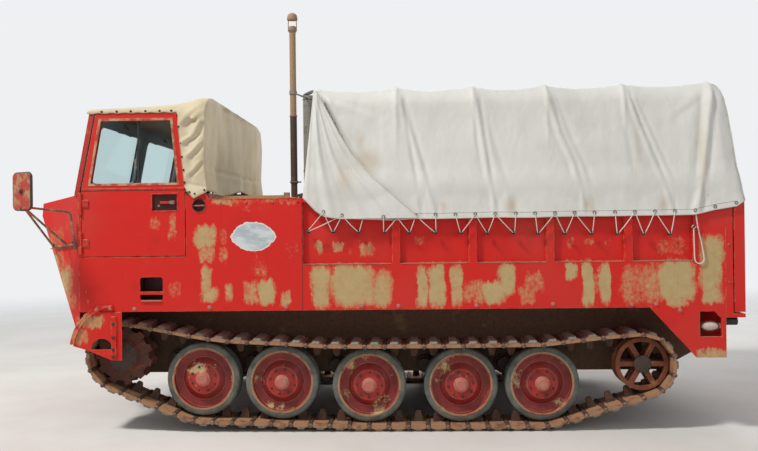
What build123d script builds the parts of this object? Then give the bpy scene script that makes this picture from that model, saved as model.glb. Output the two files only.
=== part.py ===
"""Full-size tracked cargo carrier: a front cab with a canvas roof, an engine deck, and a cargo
bed under a bowed tarpaulin, on two tracks of five paired road wheels.

Millimetres. +X is forward, +Y is the vehicle's left, +Z is up. The origin is on the ground below
the middle of the overall length. Left-hand pieces are drawn and the right-hand ones mirrored.
"""

from build123d import *
from math import acos, atan2, cos, degrees, hypot, pi, radians, sin
import os

os.makedirs("parts", exist_ok=True)

# Across the width: the lower hull, then a track beside it, then the hull's side
TUB_HALF = 860.0
TRACK_ROOM = 29.0
TRACK_WIDTH = 381.0
SIDE_ROOM = 71.5
TRACK_Y = TUB_HALF + TRACK_ROOM + TRACK_WIDTH / 2
SIDE = TRACK_Y + TRACK_WIDTH / 2 + SIDE_ROOM

# Along the length: all places follow the drive sprocket and the bed's length
SPROCKET_X = 2218.0
CORNER_X = SPROCKET_X + 302
NOSE_DEEP = 425.0
FRONT = CORNER_X + NOSE_DEEP
CAB_REAR = SPROCKET_X - 743
BED_WALL_X = CAB_REAR - 875
BED_LONG = 3291.0
BED_REAR = BED_WALL_X - BED_LONG
PINTLE_REACH = 254.0
REAR = BED_REAR - PINTLE_REACH

PLATE = 25.0
WALL = 60.0
INNER = SIDE - WALL
GAP = 6.0
PANEL = 20.0

# Lower hull between the tracks
BELLY_Z = 430.0
SPONSON_Z = 1005.0
SPONSON_TOP = SPONSON_Z + PLATE
FLOOR_TOP = SPONSON_TOP + PANEL
TAIL_RUN = 390.0
TAIL_RISE = 210.0
TOE_Z = 560.0
TOE_BACK = 180.0

# Bow-shaped nose and hood
NOSE_Z = 1800.0
NOSE_TOP_Z = 1905.0
NOSE_TOP_BACK = 15.0
NOSE_HALF = SIDE - 291.5
NOSE_RAKE = 0.41
NOSE_LOW_Z = 850.0
HOOD_Z = 1960.0

# Engine deck, cab and where the side panels meet
DECK_Z = 1915.0
DECK_THICK = 12.0
SHOULDER_Z = 1965.0
SIDE_SPLIT = BED_WALL_X + 90

# Doors, hinged at their front edge
DOOR_FRONT = CORNER_X - 25
DOOR_REAR = CAB_REAR + 168
DOOR_SILL_Z = 1458.0
DOOR_WAIST_Z = 2008.0
DOOR_TOP_Z = 2620.0
DOOR_THICK = 40.0
A_RAKE = 0.205
B_RAKE = 0.098
DOOR_FRAME = 58.0
GLASS = 6.0
KNUCKLE_R = 9.0
KNUCKLE_LONG = 60.0
LEAF = 6.0
HINGE_AHEAD = 3.0
HINGE_OUT = 10.0
HINGE_HEIGHTS = [1570.0, 1890.0]
HANDLE_X = (DOOR_REAR + 64, DOOR_REAR + 268)
HANDLE_Z = (1827.0, 1960.0)
HANDLE_DEEP = 18.0
HANDLE_BAR = (125.0, 18.0, 8.0)
HANDLE_BOSS = 30.0

# Step pocket and round port in the side wall
STEP_X = (DOOR_REAR + 188, DOOR_REAR + 375)
STEP_Z = (1095.0, 1285.0)
STEP_DEEP = 150.0
STEP_CORNER = 22.0
STEP_BAR_Z = (1143.0, 1168.0)
STEP_BAR_DEEP = 70.0
PORT = (CAB_REAR + 52, 1865.0)
PORT_R = 50.0
PORT_DEEP = 32.0
PORT_RIM = 8.0
PORT_BAR_R = 6.0

# Windshield
SCREEN_BASE_X = CORNER_X + 35
SCREEN_RAKE = 0.2
SCREEN_THICK = 41.0
SCREEN_TOP_Z = 2648.0
SCREEN_BAR = 66.0
SCREEN_POST = 74.0
SCREEN_SIDE_GAP = 2.0

# Cab canvas and the tubes that carry it
CANVAS = 12.0
CANVAS_SIDE_GAP = 2.0
CANVAS_FRONT = (SCREEN_BASE_X - 130, 2662.0)
CANVAS_PEAK = (CAB_REAR + 25, 2768.0)
CANVAS_HIP = (CAB_REAR + 57, 2190.0)
CANVAS_FOOT = (CAB_REAR + 7, 1972.0)
CAB_TUBE_R = 15.0
CAB_HOOP_Y = INNER - 19.5
CAB_CORNER_R = 300.0
CANVAS_ROUND = (20.0, 330.0)

# Cargo bed
RECESS = 35.0
RECESS_FRONT = BED_WALL_X + 84
RECESS_REAR = BED_REAR + 248
RECESS_LOW_Z = 1380.0
RECESS_HIGH_Z = 1880.0
RAIL_Z = 1935.0
RIB_W = 62.0
RIB_FIRST = BED_WALL_X - 671
RIB_PITCH = 619.0
RIB_COUNT = 4
SKIRT_TOP_X = BED_REAR + 599
SKIRT_FOOT_X = BED_REAR + 233
SKIRT_Z = 603.0
SKIRT_HOLE_X = (BED_REAR + 35, BED_REAR + 206)
SKIRT_HOLE_Z = (769.0, 969.0)
SKIRT_HOLE_CUT = 55.0

# Tailgate and its frame
FRAME_DEPTH = 58.0
POST_W = 140.0
GATE_CLEAR = 10.0
GATE_Z = 964.0
GATE_TOP_Z = 1880.0
GATE_SKIN = 30.0
GATE_RIB = 55.0
GATE_RIB_W = 80.0
GATE_RIBS = 5
GATE_EDGE = 60.0
LEDGE_Z = (920.0, 950.0)
GATE_KNUCKLE_R = 11.0
GATE_KNUCKLE_LONG = 120.0
# columns: the middle, along the width, of each tailgate hinge
GATE_HINGES = [441.5 - SIDE, 0.0, SIDE - 441.5]

# Tarpaulin and its bows; bow places go front to rear
BOW_XS = [*[BED_WALL_X - back for back in (35, 685, 1305, 1895, 2485)], BED_REAR + 106]
BOW_TUBE_R = 17.0
BOW_SOCKET_R = 23.0
BOW_START_Z = 1960.0
BOW_FOOT_Y = SIDE - WALL / 2
BOW_LEAN = 0.118
BOW_SHOULDER_Z = 2797.0
BOW_TOP_Z = 2818.0
BOW_CORNER_R = 150.0
TARP = 10.0
TARP_SLACK = 14.0
HEM_Z = 1752.0
# columns: x and z of the tarpaulin's side outline, down its front wall, along its hem, up its rear wall
TARP_FRONT = [(BED_WALL_X - 12, 2900.0), (BED_WALL_X + 80, 1932.0)]
TARP_HEM = [(BED_WALL_X + 40, 1893.0), (BED_WALL_X - 100, 1800.0), (BED_WALL_X - 220, HEM_Z),
            (BED_REAR + 271, HEM_Z)]
TARP_REAR = [(BED_REAR - 174, 1889.0), (BED_REAR - 155, 2258.0), (BED_REAR - 88, 2579.0),
             (BED_REAR - 29, 2800.0), (BED_REAR + 10, 2950.0)]
TARP_CUT_BELOW = 400.0

# Tracks and wheels
SHOE_COUNT = 64
TREAD_OUT = 38.0
WEB_OUT = 15.0
WHEEL_IN = 20.0
GUIDE_TALL = 82.0
GUIDE_HALF = 24.0
WHEEL_R = 305.0
TYRE_DEEP = 48.0
TYRE_IN = 35.0
TYRE_OUT = 89.0
GROUND_Z = TREAD_OUT + WHEEL_IN + WHEEL_R + 1
SPROCKET = (SPROCKET_X, 625.0)
SPROCKET_PITCH_R = 275.0
SPROCKET_TEETH = 11
IDLER = (SPROCKET_X - 4288, 527.0)
IDLER_PITCH_R = 250.0
# columns: each road wheel's way back from the sprocket, its rise over the lowest, and its room to the track
WHEEL_ROWS = [(668.0, 60.0, 13.0), (1326.0, 30.0, 6.0), (2051.0, 0.0, 0.0), (2808.0, 0.0, 0.0),
              (3476.0, 6.0, 6.0)]
WHEELS = [(SPROCKET_X - back, GROUND_Z + rise) for back, rise, room in WHEEL_ROWS]
# columns: way back from the sprocket and height of the upper run's pins where it sags and rests
UPPER_PINS = [(98.0, 882.0), (348.0, 837.0), (668.0, 773.0), (909.0, 743.0), (1326.0, 723.0),
              (1689.0, 697.0), (2051.0, 692.0), (2808.0, 692.0), (3476.0, 698.0), (3778.0, 732.0),
              (4039.0, 760.0)]
UPPER_RUN = [(SPROCKET_X - back, z) for back, z in UPPER_PINS]
IDLER_LEAD = 0.12
ARM_BACK = 290.0
ARM_UP = 130.0
ARM_Y = (TUB_HALF + 35, TUB_HALF + 95)
ARM_R = 55.0

# Sprocket guards
GUARD_CENTRE = (SPROCKET_X - 18, 690.0)
GUARD_R = 374.0
GUARD_COLLAR = (372.0, 403.0)
GUARD_BASE_Z = 612.0
GUARD_FRONT_Z = 742.0
GUARD_PLATE = 12.0
GUARD_RIM = 60.0
GUARD_HOLE = (SPROCKET_X + 117, 700.0)
GUARD_HOLE_R = 90.0

# Exhaust stack, air intake and mirrors
STACK = (BED_WALL_X + 233, 700.0)
STACK_R = 28.0
STACK_WALL = 4.0
STACK_TOP_Z = 3455.0
STACK_SPLIT_Z = 2657.0
STACK_CLAMP_Z = 2066.0
STACK_SLEEVE = 2.0
STACK_COLLAR = 6.0
STACK_LUG = (34.0, 16.0)
CAP_R = 46.0
CAP_Z = 3512.0
CAP_TALL = 62.0
CAP_STRAP = (6.0, 16.0)
# columns: share of the cap's radius and of its height, up the rain cap's section
CAP_DOME = [(0, 0), (1, 0), (1, 0.34), (0.9, 0.64), (0.68, 0.86), (0.38, 0.97), (0, 1)]
STACK_RIM = (50.0, 42.0)
INTAKE = (BED_WALL_X + 140, 330.0)
INTAKE_R = 52.0
INTAKE_TOP_Z = 2895.0
INTAKE_LID = 12.0
INTAKE_LID_TILT = 0.45
BRACKET_Z = 2870.0
BRACKET_R = 8.0
BRACKET_RING = 6.0
BRACKET_GAP = 0.5
MIRROR = (CORNER_X + 318, SIDE + 308.5, 1985.0)
MIRROR_SIZE = (215.0, 285.0, 26.0)
MIRROR_TURN = 60.0
MIRROR_TUBE_R = 9.0


def save(part, label):
    """Labels one finished piece and writes it as its own file."""
    part.label = label
    export_step(part, f"parts/{label}.step")


def across(y):
    """The X-Z plane at one distance to the left; extruding from it goes towards the right."""
    return Plane(origin=(0, y, 0), x_dir=(1, 0, 0), z_dir=(0, -1, 0))


def right_of(part):
    """The mirror image of a left-hand part."""
    return Part(mirror(part, about=Plane.XZ).wrapped)


def save_pair(part, stem):
    """Writes a left-hand part and its mirror image as two files."""
    save(part, f"{stem}_left")
    save(right_of(part), f"{stem}_right")


def save_both(part, label):
    """Writes a left-hand part and its mirror image as one file."""
    save(Part(Compound(children=[*part.solids(), *right_of(part).solids()]).wrapped), label)


def nose_x(z):
    """The raked front plate's x at a height."""
    return FRONT - (NOSE_Z - z) * NOSE_RAKE


def corner_y(x):
    """The angled corner plate's y at an x."""
    return SIDE - (x - CORNER_X) * (SIDE - NOSE_HALF) / (FRONT - CORNER_X)


# Lower hull: an open-topped trough with a raked front and a rising tail
def tub_outline(inset):
    """The trough's side outline, drawn in from the real one."""
    low = BELLY_Z + inset
    tail = BELLY_Z + TAIL_RISE
    top = SPONSON_TOP
    slant = inset * (hypot(1, NOSE_RAKE))
    return [(BED_REAR + inset, tail + inset * 0.5), (BED_REAR + TAIL_RUN + inset * 0.2, low),
            (nose_x(TOE_Z) - TOE_BACK - inset * 0.3, low), (nose_x(TOE_Z) - slant, TOE_Z + inset * 0.4),
            (nose_x(top) - slant, top), (BED_REAR + inset, top)]


with BuildPart() as hull_tub:
    with BuildSketch(across(TUB_HALF)):
        Polygon(*tub_outline(0))
    extrude(amount=2 * TUB_HALF)
    with BuildSketch(across(TUB_HALF - PLATE)):
        Polygon(*tub_outline(PLATE))
    extrude(amount=2 * (TUB_HALF - PLATE), mode=Mode.SUBTRACT)
save(hull_tub.part, "hull_tub")


# Nose: hood, raked front plate and angled corner plates in one folded shell
def nose_outline(inset):
    """The nose's side outline, drawn in from the real one."""
    front = NOSE_TOP_BACK + inset
    return [(CORNER_X, HOOD_Z - inset), (SCREEN_BASE_X, HOOD_Z - inset),
            (FRONT - front, NOSE_TOP_Z - inset), (FRONT - inset, NOSE_Z),
            (nose_x(NOSE_LOW_Z) - inset, NOSE_LOW_Z), (CORNER_X, NOSE_LOW_Z)]


def nose_plan(inset):
    """The nose's plan outline, drawn in from the real one."""
    back = SIDE - inset
    front = NOSE_HALF - inset
    return [(CORNER_X, back), (FRONT, front), (FRONT, -front), (CORNER_X, -back)]


def nose_block(inset):
    """The nose as a closed block."""
    with BuildPart() as block:
        with BuildSketch(across(SIDE)):
            Polygon(*nose_outline(inset))
        extrude(amount=2 * SIDE)
        with BuildSketch(Plane.XY.offset(NOSE_LOW_Z)):
            Polygon(*nose_plan(inset))
        extrude(amount=HOOD_Z - NOSE_LOW_Z, mode=Mode.INTERSECT)
    return block.part


NOSE_SHELL = nose_block(0)
NOSE_VOID = nose_block(PLATE)
with BuildPart() as nose:
    add(NOSE_SHELL)
    add(NOSE_VOID, mode=Mode.SUBTRACT)
    with BuildSketch(across(TUB_HALF)):
        Polygon(*tub_outline(0))
    extrude(amount=2 * TUB_HALF, mode=Mode.SUBTRACT)
save(nose.part, "nose")


# Cab side walls, with the sponson floor, the door opening, the step pocket and the port
with BuildPart() as cab_side:
    with BuildSketch(across(SIDE)):
        Polygon((SIDE_SPLIT, SPONSON_Z), (CORNER_X, SPONSON_Z), (CORNER_X, HOOD_Z),
               (DOOR_FRONT + GAP, HOOD_Z), (DOOR_FRONT + GAP, DOOR_SILL_Z - GAP),
               (DOOR_REAR - GAP, DOOR_SILL_Z - GAP), (DOOR_REAR - GAP, SHOULDER_Z),
               (CAB_REAR, SHOULDER_Z), (CAB_REAR - PANEL, DECK_Z), (SIDE_SPLIT, DECK_Z))
    extrude(amount=WALL)
    with BuildSketch(Plane.XY.offset(SPONSON_Z)):
        with Locations(((SIDE_SPLIT + CORNER_X) / 2, (TUB_HALF + INNER) / 2)):
            Rectangle(CORNER_X - SIDE_SPLIT, INNER - TUB_HALF)
    extrude(amount=PLATE)
    STEP_MID = (sum(STEP_X) / 2, sum(STEP_Z) / 2)
    STEP_SIZE = (STEP_X[1] - STEP_X[0], STEP_Z[1] - STEP_Z[0])
    with BuildSketch(across(INNER)):
        with Locations(STEP_MID):
            Rectangle(STEP_SIZE[0] + PANEL, STEP_SIZE[1] + PANEL)
    extrude(amount=STEP_DEEP - WALL)
    with BuildSketch(across(SIDE)):
        with Locations(STEP_MID):
            RectangleRounded(*STEP_SIZE, STEP_CORNER)
    extrude(amount=STEP_DEEP - PANEL / 2, mode=Mode.SUBTRACT)
    with BuildSketch(across(SIDE)):
        with Locations(PORT):
            Circle(PORT_R)
    extrude(amount=PORT_DEEP, mode=Mode.SUBTRACT)
    with BuildSketch(across(SIDE)):
        with Locations(PORT):
            Circle(PORT_R + PORT_RIM)
            Circle(PORT_R, mode=Mode.SUBTRACT)
    extrude(amount=-PORT_RIM / 2)
    with BuildSketch(Plane.YZ.offset(PORT[0] - PORT_R - PORT_RIM / 2)):
        with Locations((SIDE - 2 * PORT_BAR_R, PORT[1])):
            Circle(PORT_BAR_R)
    extrude(amount=2 * PORT_R + PORT_RIM)
    with BuildSketch(across(SIDE)):
        with Locations((STEP_MID[0], sum(STEP_BAR_Z) / 2)):
            Rectangle(STEP_SIZE[0] + STEP_CORNER / 2, STEP_BAR_Z[1] - STEP_BAR_Z[0])
    extrude(amount=STEP_BAR_DEEP)
    for height in HINGE_HEIGHTS:
        for step in (-KNUCKLE_LONG, KNUCKLE_LONG):
            foot = height + step * (1 + 0.02) - KNUCKLE_LONG / 2
            with BuildSketch(Plane.XY.offset(foot)):
                with Locations((DOOR_FRONT + HINGE_AHEAD, SIDE + HINGE_OUT)):
                    Circle(KNUCKLE_R)
                with Locations(((DOOR_FRONT + GAP + CORNER_X) / 2, SIDE + HINGE_OUT / 2)):
                    Rectangle(CORNER_X - DOOR_FRONT - GAP, HINGE_OUT)
            extrude(amount=KNUCKLE_LONG)
save_pair(cab_side.part, "cab_side")


# Cab floor, the bulkhead behind the seats and the engine behind it
with BuildPart() as cab_floor:
    with BuildSketch(Plane.XY.offset(SPONSON_TOP)):
        with Locations(((CAB_REAR + CORNER_X) / 2, 0)):
            Rectangle(CORNER_X - CAB_REAR, 2 * INNER)
    extrude(amount=PANEL)
save(cab_floor.part, "cab_floor")

with BuildPart() as bulkhead:
    with BuildSketch(Plane.YZ.offset(CAB_REAR - PANEL)):
        with Locations((0, (SPONSON_TOP + SHOULDER_Z) / 2)):
            Rectangle(2 * INNER, SHOULDER_Z - SPONSON_TOP)
    extrude(amount=PANEL)
save(bulkhead.part, "bulkhead")

ENGINE_SIZE = (700.0, 820.0, 880.0)
with BuildPart() as engine:
    with BuildSketch(Plane.XY.offset(BELLY_Z + PLATE)):
        with Locations(((CAB_REAR + SIDE_SPLIT) / 2, 0)):
            Rectangle(ENGINE_SIZE[0], ENGINE_SIZE[1])
    extrude(amount=ENGINE_SIZE[2])
    fillet(engine.edges().filter_by(Axis.Z), 60)
save(engine.part, "engine_block")

# Engine deck with two grille openings, and the two grilles hinged at their rear edge
LID_X = (BED_WALL_X + 365, BED_WALL_X + 840)
LID_Y = (70.0, 640.0)
LID_THICK = 22.0
LID_RIM = 36.0
LID_BAR = 14.0
LID_BARS = 9
LID_LIP = 30.0
LID_MID = (sum(LID_X) / 2, sum(LID_Y) / 2)
LID_SIZE = (LID_X[1] - LID_X[0], LID_Y[1] - LID_Y[0])
LID_AXIS = (LID_X[0] - KNUCKLE_R - 3, DECK_Z + KNUCKLE_R + 1)
LID_HINGE_YS = [170.0, 540.0]
STACK_HOLE_GAP = 4.0
CURB = (560.0, 60.0, 30.0)
CURB_MID = (BED_WALL_X + 525, INNER - 91.5)
with BuildPart() as deck:
    with BuildSketch(Plane.XY.offset(DECK_Z - DECK_THICK)):
        with Locations(((BED_WALL_X + WALL + CAB_REAR - PANEL) / 2, 0)):
            Rectangle(CAB_REAR - PANEL - BED_WALL_X - WALL, 2 * INNER)
        for side in (1, -1):
            with Locations((LID_MID[0], side * LID_MID[1])):
                Rectangle(LID_SIZE[0] - 2 * LID_LIP, LID_SIZE[1] - 2 * LID_LIP, mode=Mode.SUBTRACT)
        with Locations(STACK):
            Circle(STACK_R + STACK_HOLE_GAP, mode=Mode.SUBTRACT)
        with Locations(INTAKE):
            Circle(INTAKE_R + STACK_HOLE_GAP, mode=Mode.SUBTRACT)
    extrude(amount=DECK_THICK)
    with BuildSketch(Plane.XY.offset(DECK_Z)):
        with Locations(CURB_MID, (CURB_MID[0], -CURB_MID[1])):
            Rectangle(CURB[0], CURB[1])
    extrude(amount=CURB[2])
    for y in LID_HINGE_YS:
        for side in (1, -1):
            with BuildSketch(across(y + KNUCKLE_LONG / 2 if side > 0 else -y)):
                with Locations(LID_AXIS):
                    Circle(KNUCKLE_R)
                with Locations((LID_AXIS[0] - KNUCKLE_R, DECK_Z + LEAF / 2)):
                    Rectangle(2 * KNUCKLE_R, LEAF)
            extrude(amount=KNUCKLE_LONG / 2)
save(deck.part, "engine_deck")

with BuildPart() as lid:
    with BuildSketch(Plane.XY.offset(DECK_Z + GAP)):
        with Locations(LID_MID):
            Rectangle(*LID_SIZE)
            Rectangle(LID_SIZE[0] - 2 * LID_RIM, LID_SIZE[1] - 2 * LID_RIM, mode=Mode.SUBTRACT)
            with GridLocations((LID_SIZE[0] - LID_RIM) / (LID_BARS + 1), 1, LID_BARS, 1):
                Rectangle(LID_BAR, LID_SIZE[1] - LID_RIM)
    extrude(amount=LID_THICK)
    for y in LID_HINGE_YS:
        with BuildSketch(across(y - 1)):
            with Locations(LID_AXIS):
                Circle(KNUCKLE_R)
            with Locations((LID_X[0] - LEAF, DECK_Z + GAP + LEAF)):
                Rectangle(4 * LEAF, LEAF)
        extrude(amount=KNUCKLE_LONG / 2)
save_pair(lid.part, "deck_lid")


# Doors: one panel with a raked window frame, a handle recess and two hinge knuckles
def door_front(z):
    """The door's front edge, upright to the waist and raked above it."""
    return DOOR_FRONT - max(0.0, z - DOOR_WAIST_Z) * A_RAKE


def door_rear(z):
    """The door's rear edge, upright to the waist and raked above it."""
    return DOOR_REAR + max(0.0, z - DOOR_WAIST_Z) * B_RAKE


def window_outline():
    """The corners of the door's window."""
    low = DOOR_WAIST_Z + DOOR_FRAME * 0.8
    high = DOOR_TOP_Z - DOOR_FRAME
    return [(door_rear(low) + DOOR_FRAME, low), (door_front(low) - DOOR_FRAME - 10, low),
            (door_front(high) - DOOR_FRAME, high), (door_rear(high) + DOOR_FRAME, high)]


with BuildPart() as door:
    with BuildSketch(across(SIDE)):
        Polygon((DOOR_REAR, DOOR_SILL_Z), (DOOR_FRONT, DOOR_SILL_Z), (DOOR_FRONT, DOOR_WAIST_Z),
               (door_front(DOOR_TOP_Z), DOOR_TOP_Z), (door_rear(DOOR_TOP_Z), DOOR_TOP_Z),
               (DOOR_REAR, DOOR_WAIST_Z))
    extrude(amount=DOOR_THICK)
    with BuildSketch(across(SIDE)):
        Polygon(*window_outline())
    extrude(amount=DOOR_THICK, mode=Mode.SUBTRACT)
    with BuildSketch(across(SIDE)):
        with Locations((sum(HANDLE_X) / 2, sum(HANDLE_Z) / 2)):
            Rectangle(HANDLE_X[1] - HANDLE_X[0], HANDLE_Z[1] - HANDLE_Z[0])
    extrude(amount=HANDLE_DEEP, mode=Mode.SUBTRACT)
    handle_start = HANDLE_X[0] + HANDLE_BOSS / 2
    with BuildSketch(across(SIDE - 2)):
        with Locations((handle_start + HANDLE_BAR[0] / 2, sum(HANDLE_Z) / 2)):
            RectangleRounded(HANDLE_BAR[0], HANDLE_BAR[1], HANDLE_BAR[1] / 3)
    extrude(amount=HANDLE_BAR[2])
    with BuildSketch(across(SIDE - 2)):
        with Locations((handle_start + HANDLE_BOSS / 2, sum(HANDLE_Z) / 2)):
            Circle(HANDLE_BOSS / 2)
    extrude(amount=HANDLE_DEEP)
    for height in HINGE_HEIGHTS:
        with BuildSketch(Plane.XY.offset(height - KNUCKLE_LONG / 2)):
            with Locations((DOOR_FRONT + HINGE_AHEAD, SIDE + HINGE_OUT)):
                Circle(KNUCKLE_R)
            with Locations((DOOR_FRONT - KNUCKLE_LONG / 2 + KNUCKLE_R / 2, SIDE + LEAF / 2)):
                Rectangle(KNUCKLE_LONG, LEAF)
        extrude(amount=KNUCKLE_LONG)
save_pair(door.part, "door")

with BuildPart() as door_glass:
    with BuildSketch(across(SIDE - DOOR_THICK / 2 + GLASS / 2)):
        Polygon(*window_outline())
    extrude(amount=GLASS)
save_pair(door_glass.part, "door_glass")


# Windshield: a raked frame with a centre post, and its two panes
def screen_x(z):
    """The windshield's front face at a height."""
    return SCREEN_BASE_X - (z - HOOD_Z) * SCREEN_RAKE


SCREEN_PLANE = Plane(origin=(SCREEN_BASE_X, 0, HOOD_Z), x_dir=(0, 1, 0), z_dir=(1, 0, SCREEN_RAKE))
SCREEN_TALL = (SCREEN_TOP_Z - HOOD_Z) * hypot(1, SCREEN_RAKE)
SCREEN_HALF = SIDE - SCREEN_SIDE_GAP
PANE_W = SCREEN_HALF - SCREEN_BAR - SCREEN_POST / 2
PANE_H = SCREEN_TALL - 2.4 * SCREEN_BAR
PANE_MID = (SCREEN_POST + PANE_W) / 2, SCREEN_TALL / 2 + 0.1 * SCREEN_BAR
with BuildPart() as screen_frame:
    with BuildSketch(across(SCREEN_HALF)):
        Polygon((screen_x(HOOD_Z), HOOD_Z), (screen_x(SCREEN_TOP_Z), SCREEN_TOP_Z),
               (screen_x(SCREEN_TOP_Z) - SCREEN_THICK, SCREEN_TOP_Z),
               (screen_x(HOOD_Z) - SCREEN_THICK + GAP, HOOD_Z))
    extrude(amount=2 * SCREEN_HALF)
    with BuildSketch(SCREEN_PLANE):
        for side in (1, -1):
            with Locations((side * PANE_MID[0], PANE_MID[1])):
                Rectangle(PANE_W, PANE_H)
    extrude(amount=SCREEN_THICK * 1.5, both=True, mode=Mode.SUBTRACT)
save(screen_frame.part, "windshield_frame")

with BuildPart() as screen_glass:
    with BuildSketch(SCREEN_PLANE.offset(-SCREEN_THICK / 2)):
        for side in (1, -1):
            with Locations((side * PANE_MID[0], PANE_MID[1])):
                Rectangle(PANE_W, PANE_H)
    extrude(amount=GLASS)
save(screen_glass.part, "windshield_glass")

# Cab canvas: roof, rear wall and the flaps behind the doors
CANVAS_HALF = SIDE - CANVAS_SIDE_GAP
CANVAS_HEM_Z = DOOR_TOP_Z + GAP
SCREEN_BACK = screen_x(CANVAS_HEM_Z) - SCREEN_THICK - GAP
ROOF_SLOPE = (CANVAS_PEAK[1] - CANVAS_FRONT[1]) / (CANVAS_FRONT[0] - CANVAS_PEAK[0])
CANVAS_OUTER = [CANVAS_FOOT, (DOOR_REAR - GAP, CANVAS_FOOT[1]), (DOOR_REAR - GAP, DOOR_WAIST_Z),
                (door_rear(CANVAS_HEM_Z) - GAP, CANVAS_HEM_Z), (SCREEN_BACK, CANVAS_HEM_Z),
                (SCREEN_BACK, SCREEN_TOP_Z), (CANVAS_FRONT[0], SCREEN_TOP_Z), CANVAS_FRONT,
                CANVAS_PEAK, CANVAS_HIP]
CANVAS_INNER = [(CANVAS_FOOT[0] + CANVAS, CANVAS_FOOT[1] - CANVAS), (CANVAS_FRONT[0] + CANVAS, DOOR_WAIST_Z),
                (CANVAS_FRONT[0] + CANVAS, CANVAS_FRONT[1] - CANVAS * (1 + ROOF_SLOPE)),
                (CANVAS_PEAK[0] + CANVAS, CANVAS_PEAK[1] - CANVAS * (1 + ROOF_SLOPE)),
                (CANVAS_HIP[0] + CANVAS, CANVAS_HIP[1])]


def canvas_block(inset, outline):
    """The outline's block between the side walls, its roof corners rounder towards the rear."""
    half = CANVAS_HALF - inset
    with BuildPart() as block:
        for x, radius in zip((CANVAS_FRONT[0] + 2 * CANVAS, CAB_REAR), CANVAS_ROUND):
            top = CANVAS_FRONT[1] + (CANVAS_FRONT[0] - x) * ROOF_SLOPE - inset
            low = CANVAS_FOOT[1] - 2 * CANVAS
            with BuildSketch(Plane.YZ.offset(x)):
                Polygon((-half, low), (-half, top), (half, top), (half, low))
                fillet(vertices().sort_by(Axis.Y)[2:4], radius - inset)
        loft(ruled=True)
        with BuildSketch(across(half)):
            Polygon(*outline)
        extrude(amount=2 * half, mode=Mode.INTERSECT)
    return block.part


with BuildPart() as cab_canvas:
    add(canvas_block(0, CANVAS_OUTER))
    add(canvas_block(CANVAS, CANVAS_INNER), mode=Mode.SUBTRACT)
save(cab_canvas.part, "cab_canvas")

# Tubes under the cab canvas: a hoop behind the doors and a rail along each roof edge
HOOP_FOOT_X = CAB_REAR + 113
HOOP_STAND = 700.0
HOOP_FOOT_Z = SPONSON_TOP + HOOP_STAND
HOOP_TOP = (CANVAS_PEAK[0] + 52, CANVAS_PEAK[1] - CANVAS - CAB_TUBE_R - 8)
RAIL_FRONT_Z = SCREEN_TOP_Z - CAB_TUBE_R * 0.8
with BuildPart() as cab_bows:
    with BuildLine():
        FilletPolyline((HOOP_FOOT_X, -CAB_HOOP_Y, HOOP_FOOT_Z), (HOOP_TOP[0], -CAB_HOOP_Y, HOOP_TOP[1]),
                       (HOOP_TOP[0], CAB_HOOP_Y, HOOP_TOP[1]), (HOOP_FOOT_X, CAB_HOOP_Y, HOOP_FOOT_Z),
                       radius=CAB_CORNER_R)
    with BuildSketch(Plane.XY.offset(HOOP_FOOT_Z)):
        with Locations((HOOP_FOOT_X, -CAB_HOOP_Y)):
            Circle(CAB_TUBE_R)
    sweep()
    RAIL_Y = CAB_HOOP_Y - CAB_CORNER_R - 20
    for side in (1, -1):
        rail_start = Vector(screen_x(SCREEN_TOP_Z) - SCREEN_THICK - 4, side * RAIL_Y, RAIL_FRONT_Z)
        rail_end = Vector(HOOP_TOP[0], side * RAIL_Y, HOOP_TOP[1])
        with BuildSketch(Plane(origin=rail_start, z_dir=rail_end - rail_start)):
            Circle(CAB_TUBE_R * 0.8)
        extrude(amount=(rail_end - rail_start).length)
    for start in (INNER, -CAB_HOOP_Y):
        with BuildSketch(across(start)):
            with Locations((HOOP_FOOT_X, SHOULDER_Z - 60)):
                Circle(2 * CAB_TUBE_R)
        extrude(amount=INNER - CAB_HOOP_Y)
save(cab_bows.part, "cab_bows")

# Seats on their pedestals, the dash and the two steering levers
SEAT_Y = 640.0
SEAT_W = 470.0
SEAT_X = (CAB_REAR + 135, CAB_REAR + 585)
SEAT_Z = 1440.0
SEAT_THICK = 110.0
SEAT_BACK_TALL = 520.0
SEAT_BACK_THICK = 90.0
PEDESTAL = (300.0, 340.0)
with BuildPart() as seat_base:
    with BuildSketch(Plane.XY.offset(FLOOR_TOP)):
        with Locations((sum(SEAT_X) / 2, SEAT_Y)):
            Rectangle(*PEDESTAL)
    extrude(amount=SEAT_Z - FLOOR_TOP)
save_both(seat_base.part, "seat_pedestals")

with BuildPart() as seat:
    with BuildSketch(Plane.XY.offset(SEAT_Z)):
        with Locations((sum(SEAT_X) / 2, SEAT_Y)):
            RectangleRounded(SEAT_X[1] - SEAT_X[0], SEAT_W, 60)
    extrude(amount=SEAT_THICK)
    with BuildSketch(Plane.XY.offset(SEAT_Z + SEAT_THICK)):
        with Locations((SEAT_X[0] + SEAT_BACK_THICK / 2, SEAT_Y)):
            RectangleRounded(SEAT_BACK_THICK, SEAT_W, 40)
    extrude(amount=SEAT_BACK_TALL)
save_pair(seat.part, "seat")

DASH_X = (CORNER_X - 190, CORNER_X - 20)
DASH_Z = (1720.0, 1930.0)
with BuildPart() as dash:
    with BuildSketch(across(INNER)):
        Polygon((DASH_X[0] + 60, DASH_Z[0]), (CORNER_X, DASH_Z[0]), (CORNER_X, DASH_Z[1]),
               (DASH_X[0] + 20, DASH_Z[1]), (DASH_X[0], DASH_Z[1] - 50))
    extrude(amount=2 * INNER)
save(dash.part, "dash")

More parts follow.
